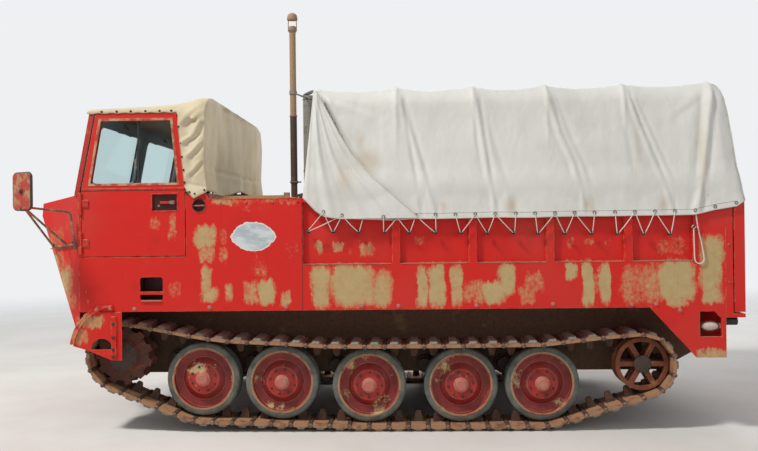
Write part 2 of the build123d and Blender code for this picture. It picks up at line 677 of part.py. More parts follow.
LEVER_X = CORNER_X - 270
LEVER_YS = [560.0, 720.0]
LEVER_R = 14.0
LEVER_TALL = 700.0
GRIP_TALL = 130.0
with BuildPart() as levers:
    for y in LEVER_YS:
        with BuildSketch(Plane.XY.offset(FLOOR_TOP)):
            with Locations((LEVER_X, y)):
                Circle(LEVER_R)
        extrude(amount=LEVER_TALL)
        with BuildSketch(Plane.XY.offset(FLOOR_TOP + LEVER_TALL)):
            with Locations((LEVER_X, y)):
                Circle(LEVER_R * 1.5)
        extrude(amount=GRIP_TALL)
save(levers.part, "steering_levers")


# Cargo bed: floor, front wall, ribbed sides with their rear skirts
with BuildPart() as bed_floor:
    with BuildSketch(Plane.XY.offset(SPONSON_TOP)):
        with Locations(((BED_REAR + BED_WALL_X) / 2, 0)):
            Rectangle(BED_WALL_X - BED_REAR, 2 * INNER)
    extrude(amount=PANEL)
save(bed_floor.part, "bed_floor")

with BuildPart() as bed_front:
    with BuildSketch(Plane.YZ.offset(BED_WALL_X)):
        with Locations((0, (SPONSON_TOP + RAIL_Z) / 2)):
            Rectangle(2 * INNER, RAIL_Z - SPONSON_TOP)
    extrude(amount=WALL)
save(bed_front.part, "bed_front_wall")

with BuildPart() as bed_side:
    with BuildSketch(across(SIDE)):
        Polygon((BED_REAR, SPONSON_Z), (SIDE_SPLIT, SPONSON_Z), (SIDE_SPLIT, DECK_Z),
               (BED_WALL_X + WALL, DECK_Z), (BED_WALL_X + WALL, RAIL_Z), (BED_REAR, RAIL_Z))
    extrude(amount=WALL)
    RIB_XS = [RIB_FIRST - RIB_PITCH * i for i in range(RIB_COUNT)]
    with BuildSketch(across(SIDE)):
        with Locations(((RECESS_FRONT + RECESS_REAR) / 2, (RECESS_LOW_Z + RECESS_HIGH_Z) / 2)):
            Rectangle(RECESS_FRONT - RECESS_REAR, RECESS_HIGH_Z - RECESS_LOW_Z)
        for x in RIB_XS:
            with Locations((x, (RECESS_LOW_Z + RECESS_HIGH_Z) / 2)):
                Rectangle(RIB_W, RECESS_HIGH_Z - RECESS_LOW_Z, mode=Mode.SUBTRACT)
    extrude(amount=RECESS, mode=Mode.SUBTRACT)
    with BuildSketch(Plane.XY.offset(SPONSON_Z)):
        with Locations(((BED_REAR + SIDE_SPLIT) / 2, (TUB_HALF + INNER) / 2)):
            Rectangle(SIDE_SPLIT - BED_REAR, INNER - TUB_HALF)
    extrude(amount=PLATE)
    with BuildSketch(across(SIDE)):
        Polygon((BED_REAR, SPONSON_Z), (SKIRT_TOP_X, SPONSON_Z), (SKIRT_FOOT_X, SKIRT_Z),
               (BED_REAR, SKIRT_Z))
        skirt_hole = [(SKIRT_HOLE_X[1], SKIRT_HOLE_Z[0]), (SKIRT_HOLE_X[1], SKIRT_HOLE_Z[1]),
                      (SKIRT_HOLE_X[0] + SKIRT_HOLE_CUT, SKIRT_HOLE_Z[1]),
                      (SKIRT_HOLE_X[0], SKIRT_HOLE_Z[1] - SKIRT_HOLE_CUT), (SKIRT_HOLE_X[0], SKIRT_HOLE_Z[0])]
        Polygon(*skirt_hole, mode=Mode.SUBTRACT)
    extrude(amount=PLATE)
    with BuildSketch(Plane.YZ.offset(BED_REAR)):
        with Locations(((TUB_HALF + SIDE - PLATE) / 2, (SKIRT_Z + SPONSON_Z) / 2)):
            Rectangle(SIDE - PLATE - TUB_HALF, SPONSON_Z - SKIRT_Z)
    extrude(amount=PLATE)
save_pair(bed_side.part, "bed_side")

# Side lamps behind the skirts' square holes
LAMP = ((SKIRT_HOLE_X[0] + SKIRT_HOLE_X[1]) / 2, 850.0)
LAMP_R = (70.0, 36.0)
LAMP_DEEP = 40.0
LAMP_STEM = (20.0, 40.0, 60.0)
with BuildPart() as skirt_lamp:
    with BuildSketch(across(SIDE - PLATE)):
        with Locations(LAMP):
            Ellipse(*LAMP_R)
    extrude(amount=LAMP_DEEP)
    with BuildSketch(Plane.YZ.offset(BED_REAR + PLATE)):
        with Locations((SIDE - PLATE - 3 * LAMP_DEEP / 4, LAMP[1])):
            Rectangle(LAMP_STEM[0], LAMP_STEM[1])
    extrude(amount=LAMP_STEM[2])
save_both(skirt_lamp.part, "skirt_lamps")

# Rear frame: posts and sill around the tailgate, with the ledge and the fixed hinge knuckles
FRAME_REAR = BED_REAR - FRAME_DEPTH
GATE_FRONT = FRAME_REAR - GATE_CLEAR
GATE_REAR = GATE_FRONT - GATE_SKIN - GATE_RIB
HINGE_X = GATE_REAR - GATE_KNUCKLE_R - HINGE_AHEAD
HINGE_Z = LEDGE_Z[1] - GATE_KNUCKLE_R / 2
with BuildPart() as rear_frame:
    with BuildSketch(Plane.YZ.offset(FRAME_REAR)):
        with Locations((0, (LEDGE_Z[0] + RAIL_Z) / 2)):
            Rectangle(2 * SIDE, RAIL_Z - LEDGE_Z[0])
        with Locations((0, (FLOOR_TOP + RAIL_Z) / 2 + 100)):
            Rectangle(2 * (SIDE - POST_W), RAIL_Z - FLOOR_TOP + 200, mode=Mode.SUBTRACT)
    extrude(amount=FRAME_DEPTH)
    with BuildSketch(Plane.XY.offset(LEDGE_Z[0])):
        with Locations(((FRAME_REAR + GATE_REAR) / 2, 0)):
            Rectangle(FRAME_REAR - GATE_REAR, 2 * SIDE)
    extrude(amount=LEDGE_Z[1] - LEDGE_Z[0])
    for y in GATE_HINGES:
        with BuildSketch(across(y + GATE_KNUCKLE_LONG)):
            with Locations((HINGE_X, HINGE_Z)):
                Circle(GATE_KNUCKLE_R)
            with Locations(((HINGE_X + GATE_REAR) / 2, (LEDGE_Z[0] + HINGE_Z) / 2)):
                Rectangle(GATE_REAR - HINGE_X, HINGE_Z - LEDGE_Z[0])
        extrude(amount=GATE_KNUCKLE_LONG)
save(rear_frame.part, "rear_frame")

# Tailgate: a skin with a border and upright ribs, hinged along its foot
with BuildPart() as tailgate:
    with BuildSketch(Plane.YZ.offset(GATE_FRONT - GATE_SKIN)):
        with Locations((0, (GATE_Z + GATE_TOP_Z) / 2)):
            Rectangle(2 * SIDE, GATE_TOP_Z - GATE_Z)
    extrude(amount=GATE_SKIN)
    with BuildSketch(Plane.YZ.offset(GATE_REAR)):
        with Locations((0, (GATE_Z + GATE_TOP_Z) / 2)):
            Rectangle(2 * SIDE, GATE_TOP_Z - GATE_Z)
            Rectangle(2 * (SIDE - GATE_EDGE), GATE_TOP_Z - GATE_Z - 2 * GATE_EDGE, mode=Mode.SUBTRACT)
            with GridLocations(2 * SIDE / (GATE_RIBS + 1), 1, GATE_RIBS, 1):
                Rectangle(GATE_RIB_W, GATE_TOP_Z - GATE_Z - GATE_EDGE)
    extrude(amount=GATE_RIB)
    for y in GATE_HINGES:
        with BuildSketch(across(y - 1)):
            with Locations((HINGE_X, HINGE_Z)):
                Circle(GATE_KNUCKLE_R)
            with Locations(((HINGE_X + GATE_REAR) / 2, (HINGE_Z + GATE_Z + GATE_EDGE) / 2)):
                Rectangle(GATE_REAR - HINGE_X, GATE_Z + GATE_EDGE - HINGE_Z)
        extrude(amount=GATE_KNUCKLE_LONG - 2)
save(tailgate.part, "tailgate")

# Tow pintle, rear buffers, front tow eyes and headlamps
PINTLE_Z = 800.0
PINTLE_PLATE = (200.0, 180.0, 20.0)
PINTLE_R = 75.0
PINTLE_HOLE_R = 34.0
PINTLE_THICK = 56.0
SHANK_R = 45.0
SHANK_LONG = 90.0
SHANK_NECK = (155.0, 40.0, 80.0)
with BuildPart() as pintle:
    with BuildSketch(Plane.YZ.offset(BED_REAR)):
        with Locations((0, PINTLE_Z)):
            RectangleRounded(*PINTLE_PLATE)
    extrude(amount=-PLATE)
    with BuildSketch(Plane.YZ.offset(BED_REAR - PLATE)):
        with Locations((0, PINTLE_Z)):
            Circle(SHANK_R)
    extrude(amount=-SHANK_LONG)
    with BuildSketch(across(PINTLE_THICK / 2)):
        with Locations((REAR + PINTLE_R, PINTLE_Z)):
            Circle(PINTLE_R)
            Circle(PINTLE_HOLE_R, mode=Mode.SUBTRACT)
        with Locations((REAR + SHANK_NECK[0], PINTLE_Z)):
            Rectangle(SHANK_NECK[1], SHANK_NECK[2])
    extrude(amount=PINTLE_THICK)
save(pintle.part, "tow_pintle")

BUFFER = (SIDE - 75, 885.0)
BUFFER_R = 33.0
BUFFER_LONG = 108.0
with BuildPart() as buffer:
    with BuildSketch(Plane.YZ.offset(BED_REAR)):
        with Locations(BUFFER):
            Circle(BUFFER_R)
    extrude(amount=-BUFFER_LONG)
save_both(buffer.part, "rear_buffers")

EYE_Z = 690.0
EYE_Y = 520.0
EYE_R = 60.0
EYE_HOLE_R = 28.0
EYE_THICK = 40.0
EYE_AHEAD = 79.0
EYE_ROOT = (80.0, 10.0)
with BuildPart() as tow_eye:
    with BuildSketch(across(EYE_Y + EYE_THICK / 2)):
        with Locations((nose_x(EYE_Z) + EYE_AHEAD, EYE_Z)):
            Circle(EYE_R)
        with Locations((nose_x(EYE_Z) + EYE_ROOT[1], EYE_Z)):
            Rectangle(EYE_ROOT[0], 2 * EYE_R)
        with Locations((nose_x(EYE_Z) + EYE_AHEAD, EYE_Z)):
            Circle(EYE_HOLE_R, mode=Mode.SUBTRACT)
    extrude(amount=EYE_THICK)
    with BuildSketch(across(TUB_HALF)):
        Polygon(*tub_outline(0))
    extrude(amount=2 * TUB_HALF, mode=Mode.SUBTRACT)
save_both(tow_eye.part, "tow_eyes")

HEAD_LAMP = (760.0, 1560.0)
HEAD_LAMP_R = 95.0
HEAD_LAMP_LONG = 95.0
HEAD_LAMP_SUNK = 60.0
with BuildPart() as headlamp:
    with BuildSketch(Plane.YZ.offset(nose_x(HEAD_LAMP[1]) - HEAD_LAMP_SUNK)):
        with Locations(HEAD_LAMP):
            Circle(HEAD_LAMP_R)
    extrude(amount=HEAD_LAMP_SUNK + HEAD_LAMP_LONG)
    add(NOSE_SHELL, mode=Mode.SUBTRACT)
save_both(headlamp.part, "headlamps")


# Cargo bows and the tarpaulin over them
def bow_y(z, out):
    """A point beside a leaning bow leg, some way out from its middle line."""
    return BOW_FOOT_Y + out - (z - RAIL_Z) * BOW_LEAN


with BuildPart() as bows:
    for x in BOW_XS:
        with BuildLine():
            FilletPolyline((x, -bow_y(BOW_START_Z, 0), BOW_START_Z),
                           (x, -bow_y(BOW_SHOULDER_Z, 0), BOW_SHOULDER_Z), (x, 0, BOW_TOP_Z),
                           (x, bow_y(BOW_SHOULDER_Z, 0), BOW_SHOULDER_Z),
                           (x, bow_y(BOW_START_Z, 0), BOW_START_Z), radius=BOW_CORNER_R)
        with BuildSketch(Plane.XY.offset(BOW_START_Z)):
            with Locations((x, -bow_y(BOW_START_Z, 0))):
                Circle(BOW_TUBE_R)
        sweep()
        with BuildSketch(Plane.XY.offset(RAIL_Z)):
            with Locations((x, BOW_FOOT_Y), (x, -BOW_FOOT_Y)):
                Circle(BOW_SOCKET_R)
        extrude(amount=2 * (BOW_START_Z - RAIL_Z))
save(bows.part, "cargo_bows")


def tarp_block(out, outline):
    """A closed block under the tarpaulin's roof line, some way out from the bows' middle line."""
    low = HEM_Z - TARP_CUT_BELOW
    high = BOW_SHOULDER_Z + out
    with BuildPart() as block:
        with BuildSketch(Plane.YZ.offset(REAR)):
            Polygon((-bow_y(low, out), low), (-bow_y(high, out), high), (0, BOW_TOP_Z + out),
                    (bow_y(high, out), high), (bow_y(low, out), low))
            fillet(vertices().sort_by(Axis.Y)[2:4], BOW_CORNER_R + out)
        extrude(amount=FRONT - REAR)
        with BuildSketch(across(SIDE * 1.2)):
            Polygon(*outline)
        extrude(amount=SIDE * 2.4, mode=Mode.INTERSECT)
    return block.part


TARP_INNER_FOOT = HEM_Z - TARP_CUT_BELOW * 0.75
TARP_INNER = [*[(x - TARP, z) for x, z in TARP_FRONT], (TARP_FRONT[1][0] - TARP, TARP_INNER_FOOT),
              (TARP_REAR[0][0] + TARP, TARP_INNER_FOOT), *[(x + TARP, z) for x, z in TARP_REAR]]
with BuildPart() as tarp:
    add(tarp_block(BOW_TUBE_R + TARP_SLACK + TARP, TARP_FRONT + TARP_HEM + TARP_REAR))
    add(tarp_block(BOW_TUBE_R + TARP_SLACK, TARP_INNER), mode=Mode.SUBTRACT)
save(tarp.part, "cargo_tarp")


# Exhaust stack: a pipe in a lower sleeve with a collar and a clamp, and a domed rain cap on two straps
def pipe(centre, radius, wall, low, high):
    """An upright pipe, as a part of its own."""
    with BuildPart() as tube:
        with BuildSketch(Plane.XY.offset(low)):
            with Locations(centre):
                Circle(radius)
                Circle(radius - wall, mode=Mode.SUBTRACT)
        extrude(amount=high - low)
    return tube.part


STACK_FOOT_Z = DECK_Z - 60
with BuildPart() as stack:
    add(pipe(STACK, STACK_R, STACK_WALL, STACK_FOOT_Z, STACK_TOP_Z))
    add(pipe(STACK, STACK_R + STACK_SLEEVE, 2 * STACK_SLEEVE, STACK_CLAMP_Z, STACK_SPLIT_Z))
    for low, tall in ((STACK_SPLIT_Z, 2 * STACK_COLLAR), (STACK_CLAMP_Z, 4 * STACK_COLLAR),
                      (STACK_TOP_Z - STACK_RIM[0], STACK_RIM[1])):
        add(pipe(STACK, STACK_R + STACK_COLLAR, STACK_COLLAR + STACK_WALL / 2, low, low + tall))
    with BuildSketch(Plane.XY.offset(STACK_CLAMP_Z + STACK_COLLAR)):
        with Locations((STACK[0] - STACK_R - STACK_LUG[0] / 2, STACK[1])):
            Rectangle(*STACK_LUG)
    extrude(amount=2 * STACK_COLLAR)
    with BuildSketch(Plane(origin=(STACK[0], STACK[1], 0), x_dir=(1, 0, 0), z_dir=(0, -1, 0))):
        Polygon(*[(CAP_R * out, CAP_Z + CAP_TALL * up) for out, up in CAP_DOME])
    revolve(axis=Axis((STACK[0], STACK[1], 0), (0, 0, 1)))
    strap_foot = STACK_TOP_Z - STACK_RIM[1]
    with BuildSketch(Plane.XY.offset(strap_foot)):
        for side in (1, -1):
            with Locations((STACK[0] + side * (STACK_R + STACK_COLLAR - 1 + CAP_STRAP[0] / 2), STACK[1])):
                Rectangle(*CAP_STRAP)
    extrude(amount=CAP_Z + CAP_TALL / 6 - strap_foot)
save(stack.part, "exhaust_stack")

# Air intake beside the stack, with a tilted lid and a bracket that steadies the stack
BRACKET_RUN = hypot(STACK[0] - INTAKE[0], STACK[1] - INTAKE[1])
BRACKET_WAY = ((STACK[0] - INTAKE[0]) / BRACKET_RUN, (STACK[1] - INTAKE[1]) / BRACKET_RUN, 0)
with BuildPart() as intake:
    add(pipe(INTAKE, INTAKE_R, STACK_WALL, DECK_Z - 60, INTAKE_TOP_Z))
    lid_mid = (INTAKE[0], INTAKE[1], INTAKE_TOP_Z + INTAKE_R * INTAKE_LID_TILT)
    with BuildSketch(Plane(origin=lid_mid, z_dir=(INTAKE_LID_TILT, 0, 1))):
        Circle(INTAKE_R * hypot(1, INTAKE_LID_TILT))
    extrude(amount=INTAKE_LID / 2, both=True)
    bracket_start = Vector(*INTAKE, BRACKET_Z) + Vector(*BRACKET_WAY) * (INTAKE_R - 2)
    with BuildSketch(Plane(origin=bracket_start, z_dir=BRACKET_WAY)):
        Circle(BRACKET_R)
    extrude(amount=BRACKET_RUN - INTAKE_R - STACK_R)
    ring_r = STACK_R + BRACKET_GAP + BRACKET_RING
    add(pipe(STACK, ring_r, BRACKET_RING, BRACKET_Z - 2 * BRACKET_R, BRACKET_Z + 2 * BRACKET_R))
save(intake.part, "intake_stack")


# Mirrors on tube arms from the nose's corner plates
def rod(start, end, radius):
    """A straight round bar between two points, in the part being built."""
    run = Vector(*end) - Vector(*start)
    with BuildSketch(Plane(origin=start, z_dir=run)) as end_face:
        Circle(radius)
    extrude(end_face.sketch, amount=run.length)


ARM_BAR_Z = 1535.0
ARM_FRONT_X = CORNER_X + 280
ARM_REAR_X = CORNER_X + 25
ARM_STAND = 16.0
# columns: x, y and z of the bent tube's corners, from beside the mirror back and down to the bracket
BENT_TUBE = [(CORNER_X + 70, SIDE + 42.5, 1826.0), (CORNER_X + 52, SIDE + 36.5, 1812.0),
             (CORNER_X + 28, SIDE + 26.5, 1613.0), (CORNER_X + 26, SIDE + 3.5, 1520.0)]
MIRROR_FOOT = (MIRROR[0], MIRROR[1] - 12, MIRROR[2] - MIRROR_SIZE[1] / 2 + 20)
with BuildPart() as mirror_arm:
    bar_front = (ARM_FRONT_X, corner_y(ARM_FRONT_X) + ARM_STAND, ARM_BAR_Z)
    bar_rear = (ARM_REAR_X, corner_y(ARM_REAR_X) + ARM_STAND, ARM_BAR_Z + 25)
    bar_mid = (ARM_REAR_X + 95, corner_y(ARM_REAR_X + 95) + ARM_STAND, ARM_BAR_Z + 15)
    rod(bar_front, bar_rear, MIRROR_TUBE_R)
    rod(bar_front, MIRROR_FOOT, MIRROR_TUBE_R)
    rod(bar_mid, MIRROR_FOOT, MIRROR_TUBE_R)
    for start, end in zip([MIRROR_FOOT, *BENT_TUBE], BENT_TUBE):
        rod(start, end, MIRROR_TUBE_R)
    for x in (ARM_FRONT_X - 15, ARM_REAR_X + 15):
        z = ARM_BAR_Z + (ARM_FRONT_X - x) * 25 / (ARM_FRONT_X - ARM_REAR_X)
        rod((x, corner_y(x) + ARM_STAND, z), (x - 12, corner_y(x) + ARM_STAND - 20, z), MIRROR_TUBE_R)
    add(NOSE_SHELL, mode=Mode.SUBTRACT)
    TURN = radians(MIRROR_TURN)
    with BuildSketch(Plane(origin=MIRROR, x_dir=(sin(TURN), -cos(TURN), 0), z_dir=(cos(TURN), sin(TURN), 0))):
        RectangleRounded(MIRROR_SIZE[0], MIRROR_SIZE[1], 35)
    extrude(amount=MIRROR_SIZE[2] / 2, both=True)
save_both(mirror_arm.part, "mirrors")


# Track path: the pins' line round the sprocket, along the upper run, round the idler and the wheels
def arc_points(centre, radius, start, end, count):
    """Points along an arc, by angle in radians."""
    return [(centre[0] + radius * cos(start + (end - start) * i / count),
             centre[1] + radius * sin(start + (end - start) * i / count)) for i in range(count + 1)]


def pin_path():
    """The closed line of the track's pins, as closely spaced points."""
    wheel_arcs = [((SPROCKET_X - back, GROUND_Z + rise), GROUND_Z - TREAD_OUT + room)
                  for back, rise, room in WHEEL_ROWS]
    lower = [(SPROCKET, SPROCKET_PITCH_R)] + wheel_arcs + [(IDLER, IDLER_PITCH_R)]
    points = list(UPPER_RUN)
    start = pi / 2 - IDLER_LEAD
    for index in range(len(lower) - 1, -1, -1):
        centre, radius = lower[index]
        if index > 0:
            ahead, ahead_r = lower[index - 1]
            end = atan2(ahead[1] - centre[1], ahead[0] - centre[0]) - acos(
                (radius - ahead_r) / hypot(ahead[0] - centre[0], ahead[1] - centre[1]))
            end = end + 2 * pi if end < 0 else end
        else:
            end = 2 * pi + atan2(UPPER_RUN[0][1] - centre[1], UPPER_RUN[0][0] - centre[0])
        count = max(2, int(abs(end - start) / 0.1))
        points += arc_points(centre, radius, start, end, count)
        start = end
    return points


def spaced(points, count):
    """As many points, evenly spaced along a closed line, each with the line's outward normal."""
    closed = points + [points[0]]
    runs = [hypot(b[0] - a[0], b[1] - a[1]) for a, b in zip(closed, closed[1:])]
    step = sum(runs) / count
    found = []
    index = 0
    passed = 0.0
    for number in range(count):
        target = number * step
        while passed + runs[index] < target:
            passed += runs[index]
            index += 1
        share = (target - passed) / runs[index]
        a = closed[index]
        b = closed[index + 1]
        found.append((a[0] + (b[0] - a[0]) * share, a[1] + (b[1] - a[1]) * share))
    return found


# columns: share of the pitch from one pin to the next, and height outside the pins' line
SHOE_PROFILE = [(0.08, WEB_OUT), (0.2, TREAD_OUT), (0.8, TREAD_OUT), (0.92, WEB_OUT)]


def shoe_frame(start, end):
    """A function from a shoe's own pitch share and height to the side view's x and z."""
    run = (end[0] - start[0], end[1] - start[1])
    long = hypot(*run)
    out = (run[1] / long, -run[0] / long)

    def place(share, height):
        return (start[0] + run[0] * share + out[0] * height, start[1] + run[1] * share + out[1] * height)

    return place


PINS = spaced(pin_path(), SHOE_COUNT)
SHOE_PITCH = hypot(PINS[1][0] - PINS[0][0], PINS[1][1] - PINS[0][1])
SHOE_FRAMES = [shoe_frame(a, b) for a, b in zip(PINS, PINS[1:] + PINS[:1])]
with BuildPart() as track:
    with BuildSketch(across(TRACK_Y + TRACK_WIDTH / 2)):
        Polygon(*[place(*point) for place in SHOE_FRAMES for point in SHOE_PROFILE])
        Polygon(*[place(0, -WHEEL_IN) for place in SHOE_FRAMES], mode=Mode.SUBTRACT)
    extrude(amount=TRACK_WIDTH)
    with BuildSketch(across(TRACK_Y + GUIDE_HALF)):
        for place in SHOE_FRAMES:
            Polygon(place(0.3, 0), place(0.7, 0), place(0.62, -WHEEL_IN - GUIDE_TALL),
                   place(0.38, -WHEEL_IN - GUIDE_TALL))
    extrude(amount=2 * GUIDE_HALF)
save_pair(track.part, "track")


# Road wheels: paired dished discs on one hub, with a rubber tyre on each rim
RIM_R = WHEEL_R - TYRE_DEEP
HUB_R = 60.0
HUB_LONG = 116.0
# columns: radius and distance out from the pair's middle plane, round half the section
DISC_SECTION = [(0, 0), (HUB_R, 0), (HUB_R, 30), (120, 50), (170, 20), (RIM_R - 12, 28), (RIM_R - 12, TYRE_IN),
                (RIM_R, TYRE_IN), (RIM_R, TYRE_OUT), (RIM_R - 14, TYRE_OUT), (RIM_R - 18, 44), (200, 36),
                (178, 36), (124, 76), (88, 76), (HUB_R, 84), (HUB_R - 8, HUB_LONG - 4), (0, HUB_LONG)]
with BuildPart() as wheels:
    for x, z in WHEELS:
        with BuildSketch(Plane(origin=(x, TRACK_Y, z), x_dir=(1, 0, 0), z_dir=(0, 0, 1))):
            Polygon(*DISC_SECTION)
            mirror(about=Plane.XZ)
        revolve(axis=Axis((x, TRACK_Y, z), (0, 1, 0)))
save_both(wheels.part, "road_wheels")

with BuildPart() as tyres:
    for x, z in WHEELS:
        for side in (1, -1):
            with BuildSketch(across(TRACK_Y + (TYRE_OUT if side > 0 else -TYRE_IN))):
                with Locations((x, z)):
                    Circle(WHEEL_R)
                    Circle(RIM_R, mode=Mode.SUBTRACT)
            extrude(amount=TYRE_OUT - TYRE_IN)
save_both(tyres.part, "wheel_tyres")

# Trailing arms from the lower hull to the wheels' inner faces
with BuildPart() as arms:
    for x, z in WHEELS:
        pivot = (x + ARM_BACK, z + ARM_UP)
        tilt = degrees(atan2(ARM_UP, ARM_BACK))
        with BuildSketch(across(ARM_Y[1])):
            with Locations(Location((x + ARM_BACK / 2, z + ARM_UP / 2, 0), (0, 0, tilt))):
                SlotCenterToCenter(hypot(ARM_BACK, ARM_UP), 2 * ARM_R)
        extrude(amount=ARM_Y[1] - ARM_Y[0])
        with BuildSketch(across(ARM_Y[0])):
            with Locations(pivot):
                Circle(ARM_R + 20)
        extrude(amount=ARM_Y[0] - TUB_HALF)
        with BuildSketch(across(TRACK_Y - HUB_LONG)):
            with Locations((x, z)):
                Circle(HUB_R - 20)
        extrude(amount=TRACK_Y - HUB_LONG - ARM_Y[1])
save_both(arms.part, "wheel_arms")

# Idlers: two spoked rims on one hub, on a stub from the lower hull
IDLER_R = (IDLER_PITCH_R**2 - SHOE_PITCH**2 / 4) ** 0.5 - WHEEL_IN - 1
IDLER_RIM = 34.0
IDLER_HUB = 52.0
IDLER_SPOKES = 6
with BuildPart() as idlers:
    for near in (TYRE_IN, -TYRE_OUT):
        with BuildSketch(across(TRACK_Y + near + TYRE_OUT - TYRE_IN)):
            with Locations(IDLER):
                Circle(IDLER_R)
                Circle(IDLER_R - IDLER_RIM, mode=Mode.SUBTRACT)
                Circle(IDLER_HUB)
                with PolarLocations((IDLER_R - IDLER_RIM + IDLER_HUB) / 2, IDLER_SPOKES):
                    Rectangle(IDLER_R - IDLER_RIM - IDLER_HUB + 20, 40)
        extrude(amount=TYRE_OUT - TYRE_IN)
    with BuildSketch(across(TRACK_Y + TYRE_OUT + 14)):
        with Locations(IDLER):
            Circle(IDLER_HUB - 8)
    extrude(amount=TRACK_Y + TYRE_OUT + 14 - TUB_HALF)
save_both(idlers.part, "idlers")

# Drive sprockets: two toothed rings on a drum, and the final drives that carry them
TOOTH_R = SPROCKET_PITCH_R - WHEEL_IN - 3
ROOT_R = TOOTH_R - 42
DRUM_R = 150.0
RING_OUT = 92.0
RING_THICK = 24.0
with BuildPart() as sprockets:
    for near in (RING_OUT, RING_THICK - RING_OUT):
        with BuildSketch(across(TRACK_Y + near)):
            with Locations(SPROCKET):
                Circle(ROOT_R)
                with PolarLocations(ROOT_R, SPROCKET_TEETH):
                    Trapezoid(2 * (TOOTH_R - ROOT_R), 60, 75, rotation=-90)
        extrude(amount=RING_THICK)
    with BuildSketch(across(TRACK_Y + RING_OUT - RING_THICK)):
        with Locations(SPROCKET):
            Circle(DRUM_R)
    extrude(amount=2 * (RING_OUT - RING_THICK))
    with BuildSketch(across(TRACK_Y + RING_OUT + 22)):
        with Locations(SPROCKET):
            Circle(DRUM_R - 20)
    extrude(amount=22)
save_both(sprockets.part, "sprockets")

with BuildPart() as drives:
    with BuildSketch(across(TRACK_Y - RING_OUT)):
        with Locations(SPROCKET):
            Circle(DRUM_R)
    extrude(amount=TRACK_Y - RING_OUT - TUB_HALF)
save_both(drives.part, "final_drives")

# Sprocket guards: a quarter-round plate with a half-round hole, a rim, an outer collar and a flange
GUARD_LEFT_X = GUARD_CENTRE[0] - 30
GUARD_EDGE_X = GUARD_CENTRE[0] + GUARD_COLLAR[1] + 5
GUARD_FLANGE_X = (SPROCKET_X - 4, SPROCKET_X + 35)
GUARD_RIM_DEEP = 16.0
# columns: x and z of the plate's slanted lower edge
GUARD_FOOT = [(GUARD_LEFT_X, GUARD_BASE_Z), (GUARD_FLANGE_X[1], GUARD_BASE_Z), (GUARD_CENTRE[0] + 247, 692.0),
              (GUARD_EDGE_X, GUARD_FRONT_Z)]
GUARD_TOP_Z = SPONSON_TOP + PLATE
GUARD_SECTOR = [(GUARD_CENTRE[0] + 44, GUARD_FRONT_Z + 18), (GUARD_EDGE_X, GUARD_FRONT_Z)]
with BuildPart() as guards:
    with BuildSketch(across(SIDE)):
        with Locations(GUARD_CENTRE):
            Circle(GUARD_R)
        Polygon(*GUARD_FOOT, (GUARD_EDGE_X, SPONSON_Z), (GUARD_LEFT_X, SPONSON_Z), mode=Mode.INTERSECT)
    extrude(amount=-GUARD_PLATE)
    with BuildSketch(across(SIDE)):
        with Locations((GUARD_HOLE[0], GUARD_HOLE[1] + GUARD_HOLE_R / 2)):
            Rectangle(2 * GUARD_HOLE_R, GUARD_HOLE_R)
        with Locations(GUARD_HOLE):
            Circle(GUARD_HOLE_R, mode=Mode.INTERSECT)
    extrude(amount=-GUARD_PLATE, mode=Mode.SUBTRACT)
    with BuildSketch(across(SIDE)):
        with Locations((sum(GUARD_FLANGE_X) / 2, (GUARD_BASE_Z + SPONSON_Z) / 2 - GUARD_PLATE)):
            Rectangle(GUARD_FLANGE_X[1] - GUARD_FLANGE_X[0], SPONSON_Z - GUARD_BASE_Z - 4 * GUARD_PLATE)
    extrude(amount=-GUARD_PLATE - GUARD_RIM_DEEP)
    for radius, width, low, high in ((GUARD_R, GUARD_PLATE, -GUARD_PLATE - GUARD_RIM_DEEP, GUARD_RIM),
                                     (GUARD_COLLAR[1], GUARD_COLLAR[1] - GUARD_COLLAR[0], -GUARD_PLATE, 0)):
        with BuildSketch(across(SIDE - low)):
            with Locations(GUARD_CENTRE):
                Circle(radius)
                Circle(radius - width, mode=Mode.SUBTRACT)
            Polygon(*GUARD_SECTOR, (GUARD_EDGE_X, GUARD_TOP_Z), (GUARD_CENTRE[0] + 44, GUARD_TOP_Z),
                    mode=Mode.INTERSECT)
        extrude(amount=high - low)
    with BuildSketch(Plane.XY.offset(SPONSON_Z)):
        with Locations((CORNER_X - 2 * WALL, INNER)):
            Rectangle(3 * (CORNER_X - GUARD_CENTRE[0]), 2 * WALL)
    extrude(amount=2 * WALL, mode=Mode.SUBTRACT)
    add(NOSE_SHELL, mode=Mode.SUBTRACT)
save_both(guards.part, "sprocket_guards")

# Free end of the lacing rope: a bight that hangs from the last hook of the left side
ROPE_R = 5.0
HOOK = (BED_REAR + 251, SIDE + 12, 1632.0)
with BuildPart() as rope_hook:
    with BuildSketch(across(SIDE + 22)):
        with Locations((HOOK[0], HOOK[2] + 14)):
            Rectangle(24, 18)
    extrude(amount=22)
save(rope_hook.part, "rope_hook")

# columns: x, y and z of the rope's route, from the hook down round the bight and up to the hem
ROPE_ROUTE = [(-2440.0, 1354.0, 1637.0), (-2440.0, 1354.0, 1575.0), (-2441.5, 1355.0, 1500.0),
              (-2442.0, 1356.0, 1430.0), (-2444.0, 1355.0, 1388.0), (-2453.0, 1354.5, 1363.5),
              (-2475.5, 1354.0, 1350.5), (-2501.0, 1354.5, 1355.0), (-2517.5, 1355.0, 1375.0),
              (-2517.5, 1356.0, 1401.0), (-2511.0, 1356.0, 1445.0), (-2497.0, 1357.0, 1525.0),
              (-2478.0, 1359.0, 1603.0), (-2463.0, 1362.0, 1680.0), (-2455.0, 1366.0, 1742.0)]


def route_radii(points):
    """The largest arc at each inner point of a route that its shorter run allows."""
    radii = []
    for a, b, c in zip(points, points[1:], points[2:]):
        before = Vector(*b) - Vector(*a)
        after = Vector(*c) - Vector(*b)
        half_turn = radians(before.get_angle(after)) / 2
        radii.append(0.45 * min(before.length, after.length) * cos(half_turn) / sin(half_turn))
    return radii


